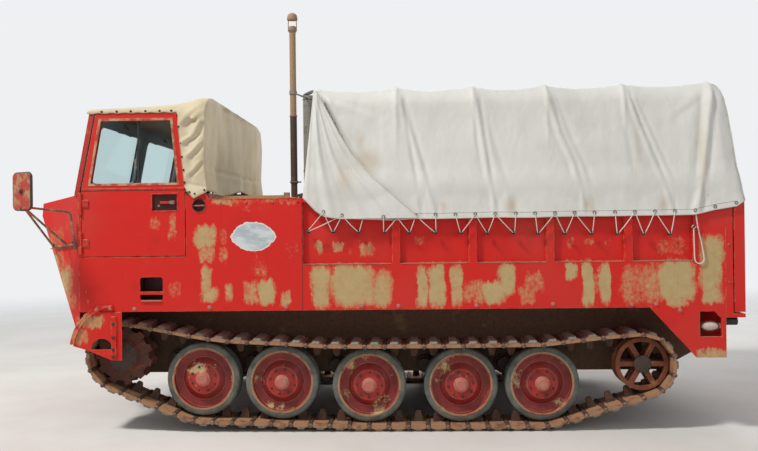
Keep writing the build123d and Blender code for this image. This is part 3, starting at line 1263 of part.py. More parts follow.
ROPE_RADII = route_radii(ROPE_ROUTE)
with BuildPart() as rope:
    with BuildLine() as rope_line:
        FilletPolyline(*ROPE_ROUTE, radius=ROPE_RADII)
    with BuildSketch(Plane(origin=ROPE_ROUTE[0], z_dir=Vector(*ROPE_ROUTE[1]) - Vector(*ROPE_ROUTE[0]))):
        Circle(ROPE_R)
    sweep()
save(rope.part, "rope_bight")
ROPE_LENGTH = sum(edge.length for edge in rope_line.line.edges())
print("rope radii", [round(r) for r in ROPE_RADII], "length", round(ROPE_LENGTH),
      "share of its volume", round(rope.part.volume / (pi * ROPE_R**2 * ROPE_LENGTH), 3))
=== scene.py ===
"""The tracked cargo carrier's looks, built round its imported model. Metres; +X forward, +Y left, +Z up."""

import math
import random

import bmesh
import bpy
from mathutils import Matrix, Vector, noise


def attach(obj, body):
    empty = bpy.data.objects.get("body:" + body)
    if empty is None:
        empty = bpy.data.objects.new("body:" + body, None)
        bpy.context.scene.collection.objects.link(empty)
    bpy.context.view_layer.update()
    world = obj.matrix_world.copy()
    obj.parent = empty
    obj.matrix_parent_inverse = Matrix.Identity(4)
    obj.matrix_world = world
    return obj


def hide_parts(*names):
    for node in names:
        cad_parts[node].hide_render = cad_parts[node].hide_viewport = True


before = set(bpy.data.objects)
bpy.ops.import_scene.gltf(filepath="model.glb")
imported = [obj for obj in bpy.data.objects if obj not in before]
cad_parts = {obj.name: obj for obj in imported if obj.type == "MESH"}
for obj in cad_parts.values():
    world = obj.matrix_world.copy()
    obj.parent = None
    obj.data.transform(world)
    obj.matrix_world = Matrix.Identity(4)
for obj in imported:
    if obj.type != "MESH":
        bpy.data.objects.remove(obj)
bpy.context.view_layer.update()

HULL = "hull"
SIDE = 1.3415

# Camera: a long side view from the vehicle's left, with the lens of the reference view
CAMERA_AT = (-0.175, 8.195, 1.685)
CAMERA_YAW = math.radians(182.0)
CAMERA_ROLL = -0.012
IMAGE_WIDTH = 758
FOCAL_PIXELS = 850
SENSOR = 36.0


def make_camera():
    """The camera at the reference view's place and lens."""
    data = bpy.data.cameras.new("camera")
    data.sensor_width = SENSOR
    data.lens = FOCAL_PIXELS / IMAGE_WIDTH * SENSOR
    data.clip_end = 200
    camera = bpy.data.objects.new("camera", data)
    bpy.context.scene.collection.objects.link(camera)
    turn = Matrix.Rotation(CAMERA_YAW, 4, "Z") @ Matrix.Rotation(math.radians(90), 4, "X")
    camera.matrix_world = Matrix.Translation(CAMERA_AT) @ turn @ Matrix.Rotation(CAMERA_ROLL, 4, "Z")
    bpy.context.scene.camera = camera


make_camera()


# Colour is written as it shows on a screen, from 0 to 255
def rgb(red, green, blue):
    """A screen colour as the linear one that the shaders take."""
    parts = [c / 255 for c in (red, green, blue)]
    return (*[p / 12.92 if p <= 0.04045 else ((p + 0.055) / 1.055) ** 2.4 for p in parts], 1.0)


class Look:
    """One material, built by short calls that each add a node and return its output."""

    def __init__(self, name):
        self.material = bpy.data.materials.new(name)
        self.material.use_nodes = True
        self.tree = self.material.node_tree
        self.shader = self.tree.nodes["Principled BSDF"]
        coordinates = self.add("ShaderNodeTexCoord")
        self.place = coordinates.outputs["Object"]
        self.normal = coordinates.outputs["Normal"]

    def add(self, kind, **settings):
        node = self.tree.nodes.new(kind)
        for key, value in settings.items():
            setattr(node, key, value)
        return node

    def feed(self, value, socket):
        """Links an output to a socket, or sets the socket to a number or colour."""
        if isinstance(value, bpy.types.NodeSocket):
            self.tree.links.new(value, socket)
        else:
            socket.default_value = value

    def math(self, operation, a, b=0.0):
        node = self.add("ShaderNodeMath", operation=operation)
        self.feed(a, node.inputs[0])
        self.feed(b, node.inputs[1])
        return node.outputs[0]

    def plus(self, a, b):
        return self.math("ADD", a, b)

    def minus(self, a, b):
        return self.math("SUBTRACT", a, b)

    def times(self, a, b):
        return self.math("MULTIPLY", a, b)

    def vector(self, operation, a, b=(0, 0, 0)):
        node = self.add("ShaderNodeVectorMath", operation=operation)
        self.feed(a, node.inputs[0])
        self.feed(b, node.inputs[1])
        return node.outputs["Value" if operation in ("LENGTH", "DOT_PRODUCT") else "Vector"]

    def axis(self, name, source=None):
        node = self.add("ShaderNodeSeparateXYZ")
        self.feed(source or self.place, node.inputs[0])
        return node.outputs[name]

    def noise(self, scale, detail=4.0, rough=0.6, stretch=(1, 1, 1), shift=(0, 0, 0)):
        moved = self.vector("MULTIPLY", self.vector("ADD", self.place, shift), stretch)
        node = self.add("ShaderNodeTexNoise")
        self.feed(moved, node.inputs["Vector"])
        node.inputs["Scale"].default_value = scale
        node.inputs["Detail"].default_value = detail
        node.inputs["Roughness"].default_value = rough
        return node.outputs["Fac"]

    def cells(self, scale):
        node = self.add("ShaderNodeTexVoronoi")
        self.feed(self.place, node.inputs["Vector"])
        node.inputs["Scale"].default_value = scale
        return node.outputs["Distance"]

    def step(self, value, low, high, out_low=0.0, out_high=1.0):
        """A smooth rise from out_low to out_high as the value goes from low to high."""
        node = self.add("ShaderNodeMapRange", interpolation_type="SMOOTHSTEP")
        for socket, number in zip(node.inputs, (value, low, high, out_low, out_high)):
            self.feed(number, socket)
        return node.outputs[0]

    def mix(self, share, a, b):
        node = self.add("ShaderNodeMix", data_type="RGBA")
        self.feed(share, node.inputs[0])
        self.feed(a, node.inputs[6])
        self.feed(b, node.inputs[7])
        return node.outputs[2]

    def edges(self, radius):
        """1 near the mesh's corners, 0 on its flats, with the rounded normal."""
        bevel = self.add("ShaderNodeBevel", samples=4)
        bevel.inputs["Radius"].default_value = radius
        flat = self.add("ShaderNodeNewGeometry").outputs["Normal"]
        share = self.step(self.vector("DOT_PRODUCT", bevel.outputs[0], flat), 0.93, 0.995, 1.0, 0.0)
        return share, bevel.outputs[0]

    def bump(self, height, strength, distance, under=None):
        node = self.add("ShaderNodeBump")
        node.inputs["Strength"].default_value = strength
        node.inputs["Distance"].default_value = distance
        self.feed(height, node.inputs["Height"])
        if under is not None:
            self.feed(under, node.inputs["Normal"])
        return node.outputs[0]

    def finish(self, colour, roughness, normal=None, metallic=0.0, **sockets):
        self.feed(colour, self.shader.inputs["Base Color"])
        self.feed(roughness, self.shader.inputs["Roughness"])
        self.feed(metallic, self.shader.inputs["Metallic"])
        if normal is not None:
            self.feed(normal, self.shader.inputs["Normal"])
        for key, value in sockets.items():
            self.shader.inputs[key.replace("_", " ").title().replace("Ior", "IOR")].default_value = value
        return self.material


RED = rgb(214, 34, 27)
RED_PALE = rgb(206, 56, 47)
RED_DARK = rgb(140, 28, 24)
TAN = rgb(200, 182, 132)
TAN_DULL = rgb(178, 148, 100)
# pale tan of dust, which on faces that look up also serves as a painted highlight
DUST_AND_TOP_HIGHLIGHT = rgb(176, 158, 128)
RUST = rgb(122, 66, 42)
RUST_LIGHT = rgb(170, 112, 76)
# a near black, used for grime on painted metal and for painted shade inside the hull's openings
SOOT_AND_SHADE = rgb(30, 25, 23)

# Where the side's red has worn through to tan. columns: x, z, half width, half height, strength
WORN_PATCHES = [
    (1.48, 1.61, 0.072, 0.086, 1), (1.47, 1.46, 0.061, 0.063, 0.8), (1.33, 1.61, 0.033, 0.065, 0.4),
    (1.33, 1.46, 0.033, 0.051, 0.55), (1.47, 1.28, 0.045, 0.089, 0.8), (1.44, 1.14, 0.061, 0.061, 0.8),
    (1.30, 1.15, 0.029, 0.073, 0.65), (1.11, 1.16, 0.045, 0.085, 0.6), (0.98, 1.15, 0.066, 0.095, 0.95),
    (1.03, 1.34, 0.057, 0.053, 0.38), (0.83, 1.10, 0.042, 0.057, 0.75), (0.78, 1.49, 0.049, 0.069, 0.35),
    (0.54, 1.19, 0.069, 0.159, 0.95), (0.27, 1.20, 0.160, 0.155, 1), (0.04, 1.18, 0.067, 0.137, 0.78),
    (-0.28, 1.19, 0.040, 0.157, 0.85), (-0.40, 1.20, 0.060, 0.161, 1), (-0.55, 1.20, 0.038, 0.153, 0.92),
    (-0.68, 1.14, 0.094, 0.087, 0.52), (-0.85, 1.13, 0.073, 0.086, 0.95),
    (-0.96, 1.24, 0.069, 0.119, 0.95), (-1.12, 1.11, 0.056, 0.070, 0.6),
    (-1.18, 1.21, 0.074, 0.074, 0.5), (-1.47, 1.31, 0.046, 0.065, 0.9), (-1.60, 1.20, 0.041, 0.167, 1),
    (-1.67, 1.20, 0.029, 0.080, 0.5), (-1.74, 1.20, 0.040, 0.147, 0.95),
    (-2.04, 1.19, 0.144, 0.165, 0.58), (-2.31, 1.22, 0.128, 0.149, 1), (-2.30, 1.04, 0.079, 0.032, 0.8),
    (-2.58, 1.35, 0.085, 0.203, 0.97), (-2.59, 1.10, 0.071, 0.062, 0.85),
    (-2.57, 0.63, 0.110, 0.040, 0.85), (0.56, 1.51, 0.024, 0.057, 0.85), (0.40, 1.51, 0.032, 0.040, 0.8),
    (0.30, 1.48, 0.022, 0.028, 0.5), (0.16, 1.49, 0.051, 0.052, 0.75), (-0.26, 1.56, 0.064, 0.036, 0.5),
    (-1.47, 1.53, 0.036, 0.036, 0.6), (-1.62, 1.54, 0.034, 0.030, 0.5), (-1.77, 1.52, 0.029, 0.036, 0.5),
    (-2.28, 1.50, 0.114, 0.066, 0.5), (2.67, 1.24, 0.070, 0.168, 0.62), (2.77, 1.58, 0.075, 0.114, 0.55),
    (1.90, 1.73, 0.037, 0.049, 0.5), (1.75, 1.70, 0.029, 0.106, 0.7), (1.97, 1.40, 0.037, 0.016, 0.45),
    (1.73, 1.18, 0.049, 0.065, 0.42), (1.30, 1.89, 0.106, 0.024, 0.7), (1.05, 1.895, 0.150, 0.018, 0.6),
    (0.80, 1.890, 0.100, 0.020, 0.5), (1.12, 1.855, 0.130, 0.040, 0.50),
    (2.74, 1.42, 0.060, 0.100, 0.60), (2.80, 1.36, 0.060, 0.090, 0.80), (2.62, 1.08, 0.060, 0.070, 0.55),
    (2.72, 1.25, 0.070, 0.090, 0.80), (2.86, 1.52, 0.050, 0.100, 0.70), (2.90, 1.66, 0.040, 0.060, 0.50),
    (2.63, 1.74, 0.040, 0.080, 0.45), (2.42, 0.93, 0.120, 0.050, 0.78), (2.52, 0.80, 0.060, 0.060, 0.75),
    (2.32, 0.70, 0.070, 0.040, 0.45), (2.30, 1.92, 0.10, 0.02, 0.3),
]
# Places where the side is cut through or sunk in, whose insides are painted dark as shade: x, z, half
# width, half height
PORT_AT = (1.527, 1.865)
HOLES = [(1.809, 1.893, 0.108, 0.072), (*PORT_AT, 0.064, 0.064), (1.925, 1.190, 0.096, 0.105)]
# The pale blank lens on the side: x, z, half length, half height
LENS = (1.086, 1.608, 0.192, 0.122)


def patch_field(look):
    """How deep inside the nearest worn patch a point of the side lies, from 0 to 1."""
    place = look.add("ShaderNodeCombineXYZ")
    sideways = look.minus(look.noise(9, 4, 0.65, stretch=(1, 1, 0.4)), 0.5)
    downwards = look.minus(look.noise(26, 3, 0.6, stretch=(1, 1, 0.12)), 0.5)
    look.feed(look.plus(look.axis("X"), look.times(sideways, 0.13)), place.inputs[0])
    look.feed(look.plus(look.axis("Z"), look.times(downwards, 0.12)), place.inputs[2])
    field = 0.0
    for x, z, wide, tall, strength in WORN_PATCHES:
        offset = look.vector("SUBTRACT", place.outputs[0], (x, 0, z))
        offset = look.vector("MULTIPLY", offset, (1 / wide, 0, 1 / tall))
        offset = look.vector("MULTIPLY", offset, offset)
        depth = look.step(look.vector("LENGTH", offset), 2.3, 0.35, 0.0, strength)
        field = look.math("MAXIMUM", depth, field)
    return field


def hole_shade_share(look):
    """1 on what lies sunk behind the side at its openings, which are painted dark as shade."""
    x, z = look.axis("X"), look.axis("Z")
    share = 0.0
    for middle_x, middle_z, wide, tall in HOLES:
        across = look.math("LESS_THAN", look.math("ABSOLUTE", look.minus(x, middle_x)), wide)
        upright = look.math("LESS_THAN", look.math("ABSOLUTE", look.minus(z, middle_z)), tall)
        share = look.math("MAXIMUM", look.times(across, upright), share)
    sunk = look.step(look.math("ABSOLUTE", look.axis("Y")), SIDE - 0.005, SIDE - 0.016)
    return look.times(share, sunk)


def warp(look, amount, scale):
    """The place, pushed about by noise."""
    node = look.add("ShaderNodeTexNoise")
    look.feed(look.place, node.inputs["Vector"])
    node.inputs["Scale"].default_value = scale
    node.inputs["Detail"].default_value = 3.0
    push = look.vector("MULTIPLY", look.vector("SUBTRACT", node.outputs["Color"], (0.5, 0.5, 0.5)),
                       (amount,) * 3)
    return look.vector("ADD", look.place, push)


def lens_share(look, shrink=0.0):
    """1 inside the pale lens on the side."""
    x, z, long, tall = LENS
    radius = (long**2 + tall**2) / (2 * tall)
    ragged = warp(look, 0.028, 30)
    share = 1.0
    for side in (1, -1):
        offset = look.vector("MULTIPLY",
                             look.vector("SUBTRACT", ragged, (x, 0, z + side * (radius - tall))), (1, 0, 1))
        inside = look.step(look.vector("LENGTH", offset), radius - shrink, radius - shrink - 0.003)
        share = look.times(inside, share)
    return share


def hull_paint(name):
    """Faded red paint over tan, worn through in streaked patches and along edges, with the pale lens;
    painted shade inside the openings, and pale tan on faces that look up, which is dust and a painted
    highlight.
    """
    look = Look(name)
    broad = look.noise(1.3, 3, 0.55)
    colour = look.mix(look.step(broad, 0.42, 0.62), RED, RED_PALE)
    lowness = look.step(look.axis("Z"), 2.1, 1.3)
    colour = look.mix(look.times(lowness, 0.5), colour, rgb(210, 36, 26))
    colour = look.mix(look.step(look.noise(4, 5, 0.65, shift=(5, 2, 9)), 0.56, 0.74, 0.0, 0.30), colour,
                      rgb(170, 30, 26))
    streaks = look.noise(7, 5, 0.62, stretch=(1, 1, 0.28))
    mottle = look.noise(34, 4, 0.6)
    worn = look.step(look.plus(streaks, look.times(mottle, 0.25)), 0.80, 0.90, 0.0, 0.6)
    sideways = look.step(look.math("ABSOLUTE", look.axis("Y", look.normal)), 0.40, 0.60)
    band = look.times(look.step(look.axis("Z"), 1.42, 1.32), look.step(look.axis("Z"), 1.00, 1.08))
    field = look.plus(patch_field(look), look.times(band, 0.10))
    specks = look.noise(90, 4, 0.7, stretch=(1, 1, 0.6))
    broken = look.plus(look.times(field, 0.92), look.times(streaks, 0.85))
    broken = look.plus(broken, look.times(mottle, 0.75))
    broken = look.plus(broken, look.times(specks, 0.45))
    worn_through = look.step(broken, 1.33, 2.00, 0.0, 0.97)
    worn = look.math("MAXIMUM", look.times(worn_through, sideways), worn)
    colour = look.mix(worn, colour, look.mix(look.noise(16, 3), TAN, TAN_DULL))
    edge, rounded = look.edges(0.006)
    chipped = look.times(edge, look.step(look.noise(18, 4), 0.42, 0.6))
    colour = look.mix(look.times(chipped, 0.7), colour, TAN)
    drips = look.noise(30, 3, 0.5, stretch=(1, 1, 0.06))
    colour = look.mix(look.step(drips, 0.6, 0.8, 0.0, 0.18), colour, RED_DARK)
    side_only = look.step(look.axis("Y", look.normal), 0.6, 0.8)
    colour = look.mix(look.times(lens_share(look), side_only), colour, rgb(226, 224, 220))
    pale = look.mix(look.step(look.noise(7, 4, 0.6, stretch=(1, 1, 2.5)), 0.40, 0.62), rgb(214, 220, 222),
                    rgb(178, 188, 192))
    colour = look.mix(look.times(lens_share(look, 0.010), side_only), colour, pale)
    # faces that look up go pale tan: settled dust, and a painted highlight on the tops
    dust = look.step(look.plus(look.axis("Z", look.normal), look.times(mottle, 0.4)), 0.9, 1.25)
    settled = look.step(look.noise(5, 5, 0.65, shift=(1, 8, 3)), 0.36, 0.66, 0.15, 0.9)
    colour = look.mix(look.times(dust, settled), colour, DUST_AND_TOP_HIGHLIGHT)
    # painted shade: the sunk insides of the openings turn near black
    colour = look.mix(look.times(hole_shade_share(look), 0.93), colour, SOOT_AND_SHADE)
    height = look.minus(look.times(mottle, 0.4), look.times(worn, 0.5))
    normal = look.bump(height, 0.25, 0.0015, rounded)
    rough = look.plus(look.times(worn, 0.18), look.step(streaks, 0.3, 0.7, 0.46, 0.62))
    return look.finish(colour, rough, normal, specular_ior_level=0.3)


def metal_paint(name, base, worn_to, share=0.5, roughness=0.65, scale=14.0, second=None):
    """Dusty or rusty painted metal, worn in blotches and on edges; second is (where, base colour there)."""
    look = Look(name)
    if second:
        base = look.mix(second[0](look), base, second[1])
    blotch = look.noise(scale, 6, 0.65)
    fine = look.noise(scale * 7, 4, 0.6)
    edge, rounded = look.edges(0.004)
    worn = look.step(look.plus(blotch, look.times(edge, 0.2)), 0.72 - share * 0.4, 0.9 - share * 0.4)
    colour = look.mix(worn, base, worn_to)
    colour = look.mix(look.step(fine, 0.35, 0.75, 0.0, 0.45), colour, look.mix(0.5, base, SOOT_AND_SHADE))
    normal = look.bump(look.plus(fine, blotch), 0.35, 0.002, rounded)
    return look.finish(colour, look.step(fine, 0.2, 0.8, roughness - 0.12, roughness + 0.15), normal)


def wheel_paint(name):
    """Red wheel discs with painted shade on the sunk dish, and tan scuffs."""
    look = Look(name)
    blotch = look.noise(9, 5, 0.62)
    fine = look.noise(70, 4, 0.6)
    colour = look.mix(look.step(blotch, 0.4, 0.6), rgb(196, 40, 32), rgb(150, 34, 28))
    # painted shade: faces sunk behind the wheel's outer face, in the dish towards the hub, go dark red
    outward = look.math("ABSOLUTE", look.axis("Y"))
    dish_shade = look.step(outward, 1.170, 1.135)
    colour = look.mix(look.times(dish_shade, 0.75), colour, rgb(96, 24, 22))
    edge, rounded = look.edges(0.005)
    scuffs = look.step(look.plus(look.noise(5, 4, 0.6, shift=(3, 1, 7)), look.times(fine, 0.2)), 0.66, 0.76)
    colour = look.mix(look.times(scuffs, 0.85), colour, TAN)
    colour = look.mix(look.times(edge, 0.65), colour, TAN)
    normal = look.bump(fine, 0.2, 0.001, rounded)
    return look.finish(colour, look.step(blotch, 0.3, 0.7, 0.42, 0.62), normal)


def cloth(name, colours, weave, roughness, stains=None, sheen=0.15):
    """Coated woven cloth: two near colours, a fine weave, soft creases, and stains where given."""
    look = Look(name)
    broad = look.noise(1.6, 4, 0.6)
    colour = look.mix(look.step(broad, 0.38, 0.66), colours[0], colours[1])
    grime = look.noise(6, 6, 0.7, stretch=(1, 1, 0.35))
    colour = look.mix(look.step(grime, 0.55, 0.8, 0.0, 0.35), colour, colours[2])
    if stains:
        warped = warp(look, 0.05, 14)
        for x, z, wide, tall, strength in stains:
            offset = look.vector("MULTIPLY", look.vector("SUBTRACT", warped, (x, 0, z)),
                                 (1 / wide, 0, 1 / tall))
            share = look.step(look.vector("LENGTH", offset), 1.3, 0.0, 0.0, strength)
            colour = look.mix(share, colour, rgb(178, 142, 92))
        specks = look.times(look.step(look.cells(7), 0.050, 0.030), look.step(look.noise(2, 2), 0.48, 0.56))
        colour = look.mix(look.times(specks, 0.55), colour, rgb(120, 98, 80))
    threads = []
    for stretch in ((1, 1, 0), (0, 0, 1)):
        wave = look.add("ShaderNodeTexWave", wave_type="BANDS", bands_direction="DIAGONAL")
        look.feed(look.vector("MULTIPLY", look.place, stretch), wave.inputs["Vector"])
        wave.inputs["Scale"].default_value = weave
        threads.append(wave.outputs["Fac"])
    woven = look.times(threads[0], threads[1])
    creases = look.noise(11, 5, 0.55, stretch=(1, 1, 0.6))
    normal = look.bump(creases, 0.25, 0.02)
    normal = look.bump(woven, 0.15, 0.0006, normal)
    return look.finish(colour, look.step(grime, 0.3, 0.7, roughness, roughness + 0.12), normal,
                       sheen_weight=sheen)


def tyre_rubber(name):
    """Grey, weathered solid rubber with dust in its pores."""
    look = Look(name)
    blotch = look.noise(8, 5, 0.6)
    fine = look.noise(120, 4, 0.65)
    colour = look.mix(look.step(blotch, 0.35, 0.68), rgb(74, 78, 74), rgb(112, 115, 106))
    colour = look.mix(look.step(fine, 0.55, 0.75, 0.0, 0.4), colour, rgb(132, 122, 102))
    height = look.plus(fine, look.times(look.cells(45), 0.6))
    return look.finish(colour, look.step(blotch, 0.3, 0.7, 0.72, 0.9), look.bump(height, 0.4, 0.002))


def clear_glass(name, tint, roughness=0.03):
    """Thin window glass that lets light through."""
    look = Look(name)
    dirt = look.noise(9, 4, 0.6)
    look.material.use_backface_culling = False
    rough = look.step(dirt, 0.4, 0.8, roughness, roughness + 0.06)
    return look.finish(tint, rough, transmission_weight=1.0, ior=1.1)


def faces_in(look):
    """1 on the windshield frame's inner faces and its middle post."""
    front = look.step(look.axis("X", look.normal), 0.2, 0.4)
    outer = look.times(look.step(look.math("ABSOLUTE", look.axis("Y")), 1.23, 1.25),
                      look.step(look.axis("X", look.normal), -0.4, -0.1))
    return look.minus(1.0, look.math("MAXIMUM", front, outer))


def mirror_head(look):
    """1 on the mirrors' heads, which lie outside their arms."""
    return look.step(look.math("ABSOLUTE", look.axis("Y")), 1.530, 1.545)


def upper_pipe(look):
    """1 on the exhaust's upper length."""
    return look.step(look.axis("Z"), 2.648, 2.662)


HULL_PAINT = hull_paint("hull_paint")
FRAME_PAINT = metal_paint("frame_paint", rgb(176, 52, 42), TAN_DULL, 0.45, 0.55)
# the frame's inner faces are grey, drawn far paler than the cab's grey paint as painted light in the shaded
# cab
SCREEN_PAINT = metal_paint("screen_paint", rgb(188, 44, 36), TAN_DULL, 0.35, 0.55, 14.0,
                           (faces_in, rgb(160, 174, 182)))
MIRROR_PAINT = metal_paint("mirror_paint", rgb(108, 86, 72), TAN_DULL, 0.62, 0.6, 16.0,
                           (mirror_head, rgb(178, 62, 48)))
DECK_PAINT = metal_paint("deck_paint", rgb(176, 148, 108), rgb(182, 84, 62), 0.35, 0.75, 8.0)
# the guide horns' steel, darker than the shoes as painted shade between the wheels
HORN_STEEL_SHADED = metal_paint("horn_steel_shaded", rgb(78, 54, 42), rgb(110, 74, 54), 0.45, 0.8, 12.0)
DARK_PAINT = metal_paint("dark_paint", rgb(66, 52, 44), rgb(110, 84, 62), 0.4, 0.8)
BELLY_PAINT = metal_paint("belly_paint", rgb(98, 76, 58), rgb(128, 104, 78), 0.4, 0.85, 5.0)
WHEEL_PAINT = wheel_paint("wheel_paint")
RUSTY = metal_paint("rusty_steel", RUST, RUST_LIGHT, 0.5, 0.8, 9.0)
DRIVE_RUST = metal_paint("drive_rust", rgb(88, 48, 36), rgb(158, 74, 50), 0.45, 0.75, 8.0)
STACK_RUST = metal_paint("stack_rust", rgb(70, 50, 42), rgb(116, 80, 60), 0.35, 0.7, 10.0,
                         (upper_pipe, rgb(164, 132, 102)))
# grey galvanised steel; the tarpaulin's hem line takes it too, as painted shadow
GALVANISED_AND_SHADOW = metal_paint("galvanised", rgb(138, 136, 130), rgb(110, 104, 96), 0.4, 0.5, 12.0)
BLACK_STEEL = metal_paint("black_steel", rgb(34, 32, 31), rgb(92, 72, 58), 0.25, 0.6)
RUBBER = tyre_rubber("tyre_rubber")
GLASS = clear_glass("window_glass", rgb(226, 238, 238))
GREY_PAINT = metal_paint("grey_paint", rgb(74, 82, 84), rgb(110, 104, 90), 0.3, 0.6)
CAB_CLOTH = cloth("cab_cloth", (rgb(216, 203, 174), rgb(198, 183, 150), rgb(160, 140, 106)), 520, 0.72)
TARP_STAINS = [(0.15, 2.21, 0.13, 0.12, 0.42), (0.34, 2.06, 0.09, 0.15, 0.30),
               (0.22, 2.38, 0.05, 0.10, 0.25), (-1.00, 1.83, 0.06, 0.09, 0.42),
               (-1.62, 1.83, 0.05, 0.08, 0.40), (-2.20, 1.83, 0.05, 0.08, 0.42),
               (-0.45, 1.83, 0.05, 0.06, 0.30), (-2.52, 2.20, 0.05, 0.40, 0.30),
               (-2.02, 2.30, 0.03, 0.35, 0.22)]
TARP_CLOTH = cloth("tarp_cloth", (rgb(219, 218, 212), rgb(211, 209, 202), rgb(194, 188, 174)), 420, 0.6,
                   TARP_STAINS)
SEAT_VINYL = cloth("seat_vinyl", (rgb(52, 50, 48), rgb(44, 42, 40), rgb(70, 64, 56)), 900, 0.5, None, 0.05)
LAMP_GLASS = metal_paint("lamp_plastic", rgb(214, 190, 176), rgb(190, 150, 132), 0.35, 0.3, 20.0)
ROPE_CLOTH = cloth("rope_cloth", (rgb(226, 220, 208), rgb(208, 196, 180), rgb(170, 150, 124)), 1500, 0.85)

SHOE_STEEL = metal_paint("shoe_steel", rgb(172, 128, 94), rgb(118, 76, 55), 0.55, 0.8, 11.0)
TREAD_PAD = metal_paint("tread_pad", rgb(150, 144, 132), rgb(112, 92, 74), 0.45, 0.85, 9.0)
PIN_STEEL = metal_paint("pin_steel", rgb(92, 66, 52), rgb(176, 158, 138), 0.45, 0.6, 30.0)
RIM_TAN = metal_paint("rim_tan", rgb(164, 138, 106), rgb(140, 60, 48), 0.6, 0.65, 12.0)
# faded pink paint of hubs and bolt heads, which also draws the step pocket's pale lip, partly a painted
# highlight
HUB_PINK = metal_paint("hub_pink", rgb(196, 110, 98), rgb(176, 146, 116), 0.5, 0.6, 16.0)
# dark steel, which also draws the painted shadow under the doors' waist rail
SOOT_STEEL_AND_SHADE = metal_paint("soot_steel_and_shade", rgb(58, 44, 38), rgb(120, 66, 50), 0.4, 0.6, 18.0)
HEM_CLOTH = cloth("hem_cloth", (rgb(206, 200, 188), rgb(192, 184, 170), rgb(160, 148, 128)), 420, 0.7)
CAB_HEM = cloth("cab_hem", (rgb(188, 168, 130), rgb(170, 148, 112), rgb(136, 116, 84)), 520, 0.75)
# the liner's grey, drawn far paler than the cab's grey paint as painted light in the shaded cab
SCREEN_GREY_LIGHTENED = metal_paint("screen_grey_lightened", rgb(166, 181, 190), rgb(134, 145, 150), 0.3, 0.6)
DOOR_RIM = metal_paint("door_rim", rgb(186, 60, 48), rgb(198, 172, 128), 0.75, 0.6, 12.0)
GASKET = metal_paint("window_gasket", rgb(38, 36, 34), rgb(66, 60, 54), 0.35, 0.8, 20.0)
STEEL_GREY = metal_paint("steel_grey", rgb(128, 126, 120), rgb(150, 112, 84), 0.35, 0.5, 22.0)
GAUGE_FACE = metal_paint("gauge_face", rgb(46, 48, 48), rgb(70, 72, 70), 0.25, 0.35, 40.0)
LENS_GLASS = clear_glass("lamp_lens", rgb(224, 230, 228), 0.12)
TAIL_RED = metal_paint("tail_lamp_red", rgb(150, 22, 18), rgb(120, 26, 20), 0.25, 0.25, 30.0)
MIRROR_FACE = metal_paint("mirror_face", rgb(176, 182, 184), rgb(150, 152, 150), 0.2, 0.2, 12.0)


# Which finish each carried-over node takes
FINISHES = [
    (HULL_PAINT, ["nose", "cab_side_left", "cab_side_right", "door_left", "door_right",
                  "bed_side_left", "bed_side_right", "rear_frame", "tailgate", "sprocket_guards"]),
    (DECK_PAINT, ["engine_deck"]),
    (SCREEN_PAINT, ["windshield_frame"]),
    (MIRROR_PAINT, ["mirrors"]),
    (FRAME_PAINT, ["bulkhead", "bed_front_wall", "cab_floor"]),
    (GREY_PAINT, ["dash", "cab_bows", "seat_pedestals", "deck_lid_left", "deck_lid_right"]),
    (DARK_PAINT, ["bed_floor", "engine_block", "cargo_bows", "wheel_arms", "tow_pintle", "tow_eyes"]),
    (BELLY_PAINT, ["hull_tub"]),
    (BLACK_STEEL, ["steering_levers", "rope_hook", "rear_buffers"]),
    (WHEEL_PAINT, ["road_wheels"]),
    (RUBBER, ["wheel_tyres"]),
    (RUSTY, ["idlers", "track_left", "track_right"]),
    (DRIVE_RUST, ["sprockets", "final_drives"]),
    (STACK_RUST, ["exhaust_stack"]),
    (GALVANISED_AND_SHADOW, ["intake_stack"]),
    (GLASS, ["door_glass_left", "door_glass_right", "windshield_glass"]),
    (CAB_CLOTH, ["cab_canvas"]),
    (TARP_CLOTH, ["cargo_tarp"]),
    (SEAT_VINYL, ["seat_left", "seat_right"]),
    (LAMP_GLASS, ["headlamps", "skirt_lamps"]),
    (ROPE_CLOTH, ["rope_bight"]),
]
for finish, names in FINISHES:
    for name in names:
        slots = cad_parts[name].data.materials
        slots.clear()
        slots.append(finish)


# Small sums that the shapes share
def lerp(a, b, share):
    """The value at a share of the way from a to b."""
    return a + (b - a) * share


def clamp(value):
    """The value, held between 0 and 1."""
    return min(1.0, max(0.0, value))


def smooth(value):
    """A soft rise from 0 to 1."""
    share = clamp(value)
    return share * share * (3 - 2 * share)


def around(count):
    """Angles evenly spaced round a circle, with the full turn as the last."""
    return [2 * math.pi * i / count for i in range(count + 1)]


